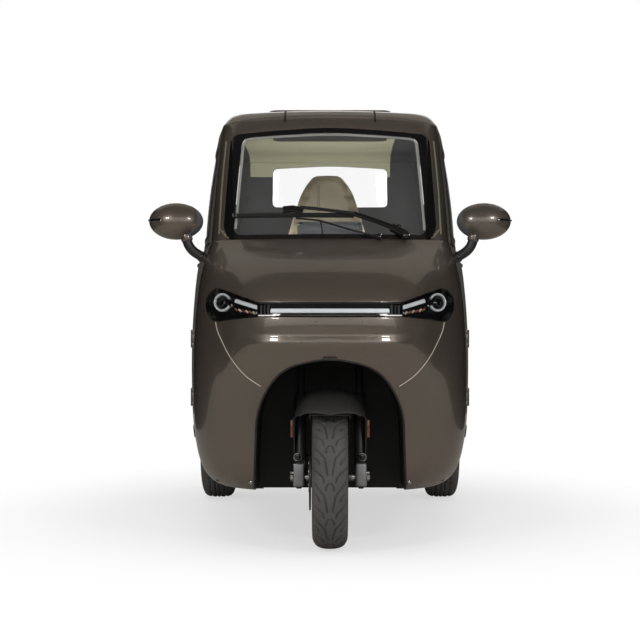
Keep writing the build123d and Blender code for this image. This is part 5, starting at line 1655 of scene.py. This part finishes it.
# %% [markdown]
# ## Floor, backdrop and light
#
# The photograph is a studio cut-out: pure white around the vehicle, soft shadows under the tyres. The floor
# is matt white and takes the shadow; away from the vehicle it fades to the white of the backdrop. One big
# soft box hangs above, one stands at each side, and one in front gives light but no reflection. Boards from
# black to pale grey, at the sides, behind and overhead, are seen only in reflections, so the flanks and the
# roof turn dark as the real ones do. Two small boxes give the bright spots on the nose, and two weak ones
# light the cabin.

# %% Floor and backdrop
def background_rays(tree):
    """1 for a ray that the white backdrop should answer: seen directly, mirrored, or seen through glass."""
    path = add_node(tree, "ShaderNodeLightPath")
    first = add_node(tree, "ShaderNodeMath", {"operation": "MAXIMUM"}, i0=path.outputs["Is Camera Ray"],
                     i1=path.outputs["Is Transmission Ray"])
    return add_node(tree, "ShaderNodeMath", {"operation": "MAXIMUM"}, i0=first.outputs[0],
                    i1=path.outputs["Is Glossy Ray"]).outputs[0]


IN_PAINT = "AAA49C"  # how bright the floor looks in the paint


def white_stage(name, near_share=0.6):
    """Matt white near the vehicle, where shadows fall, and plain white further out."""
    material, tree, shader = new_material(name, Roughness=1.0)
    shader.inputs["Specular IOR Level"].default_value = 0.0
    shades = add_node(tree, "ShaderNodeMixRGB", Fac=add_node(tree, "ShaderNodeLightPath").outputs["Is Glossy Ray"],
                      Color1=colour("F8F8F8"), Color2=colour(IN_PAINT))
    tree.links.new(shades.outputs["Color"], shader.inputs["Base Color"])
    squash = add_node(tree, "ShaderNodeVectorMath", {"operation": "MULTIPLY"}, i0=object_coords(tree),
                      i1=(1.0, 0.62, 1))
    far = add_node(tree, "ShaderNodeVectorMath", {"operation": "LENGTH"}, i0=squash.outputs[0])
    share = add_node(tree, "ShaderNodeMapRange", {"interpolation_type": "SMOOTHSTEP"}, Value=far.outputs["Value"],
                     From_Min=0.7, From_Max=1.7, To_Min=near_share, To_Max=1.0)
    path = add_node(tree, "ShaderNodeLightPath")
    rays = add_node(tree, "ShaderNodeMath", {"operation": "MAXIMUM"}, i0=path.outputs["Is Camera Ray"],
                    i1=path.outputs["Is Transmission Ray"])
    seen = add_node(tree, "ShaderNodeMath", {"operation": "MULTIPLY"}, i0=share.outputs["Result"],
                    i1=rays.outputs[0])
    white = add_node(tree, "ShaderNodeEmission", Color=colour("FFFFFF"), Strength=1.0)
    mixed = add_node(tree, "ShaderNodeMixShader", i0=seen.outputs[0], i1=shader.outputs[0], i2=white.outputs[0])
    tree.links.new(mixed.outputs[0], tree.nodes["Material Output"].inputs["Surface"])
    return material


bpy.ops.mesh.primitive_plane_add(size=30, location=(0, 0, -0.0005))
floor = bpy.context.object
floor.name = "studio_floor"
floor.data.materials.append(white_stage("white_studio_floor"))

world = bpy.data.worlds.new("studio")
scene.world = world
world.use_nodes = True
tree = world.node_tree
tree.nodes.clear()
ambient = add_node(tree, "ShaderNodeBackground", Color=colour("FFFFFF"), Strength=0.5)
backdrop = add_node(tree, "ShaderNodeBackground", Color=colour("FFFFFF"), Strength=1.0)
both = add_node(tree, "ShaderNodeMixShader", i0=background_rays(tree), i1=ambient.outputs[0],
                i2=backdrop.outputs[0])
add_node(tree, "ShaderNodeOutputWorld", Surface=both.outputs[0])


def flag(name, points, hex_value="0A0A0A"):
    """A dark board that only reflections see."""
    material, tree, shader = new_material(f"{name}_cloth", Roughness=1.0)
    shader.inputs["Base Color"].default_value = colour(hex_value)
    shader.inputs["Specular IOR Level"].default_value = 0.0
    board = new_piece(name, points, [(0, 1, 2, 3)], material)
    board.visible_camera = board.visible_diffuse = board.visible_shadow = board.visible_transmission = False


for side in (-1, 1):
    flag(f"flag_{'left' if side > 0 else 'right'}",
         [(side * 2.3, -2.9, 0.0), (side * 2.3, 14, 0.0), (side * 2.3, 14, 3.0), (side * 2.3, -2.9, 3.0)])
for side in (-1, 1):
    flag(f"flag_rear_{'left' if side > 0 else 'right'}",
         [(side * 0.75, 7, 0.0), (side * 5, 7, 0.0), (side * 5, 7, 3.0), (side * 0.75, 7, 3.0)], "55534F")
FLAGS = (("ahead", -5.6, -1.2, "5A5751"), ("over_roof", -1.2, -0.15, "3C3A37"), ("over_bonnet", -0.15, 3.5, "B3AEA4"))
for name, near, far, tone in FLAGS:
    flag(f"flag_{name}", [(-3, near, 3.0), (3, near, 3.0), (3, far, 3.0), (-3, far, 3.0)], tone)
flag("flag_front_low", [(-6, -6.6, 0.0), (6, -6.6, 0.0), (6, -6.6, 0.62), (-6, -6.6, 0.62)], "242220")


def soft_box(name, location, target, size, energy):
    light = bpy.data.lights.new(name, "AREA")
    light.shape = "RECTANGLE"
    light.size, light.size_y = size
    light.energy = energy
    lamp = bpy.data.objects.new(name, light)
    lamp.location = location
    lamp.visible_camera = False
    lamp.rotation_euler = (Vector(target) - Vector(location)).to_track_quat("-Z", "Y").to_euler()
    scene.collection.objects.link(lamp)
    return lamp


soft_box("overhead_box", (0, -0.6, 4.2), (0, -0.3, 0.8), (3.6, 4.5), 60)
soft_box("left_box", (-3.6, -2.4, 1.9), (0, -0.4, 0.8), (1.2, 3.0), 18)
soft_box("right_box", (3.6, -2.4, 1.9), (0, -0.4, 0.8), (1.2, 3.0), 18)
front_fill = soft_box("front_fill", (0, -6.8, 2.6), (0, -0.6, 0.8), (3.0, 1.6), 38)
front_fill.visible_glossy = False
soft_box("cabin_box", (0, -0.35, 1.36), (0, 0.9, 1.15), (0.5, 0.12), 1.6)
soft_box("cabin_top_box", (0, 0.34, 1.0), (0, 0.75, 1.5), (0.5, 0.2), 4.4)
for side in (-1, 1):
    soft_box(f"glint_{'left' if side > 0 else 'right'}", (side * 2.06, -3.7, 2.22), (side * 0.18, -1.13, 0.69),
             (0.62, 0.5), 26)
scene.view_settings.view_transform = "Standard"
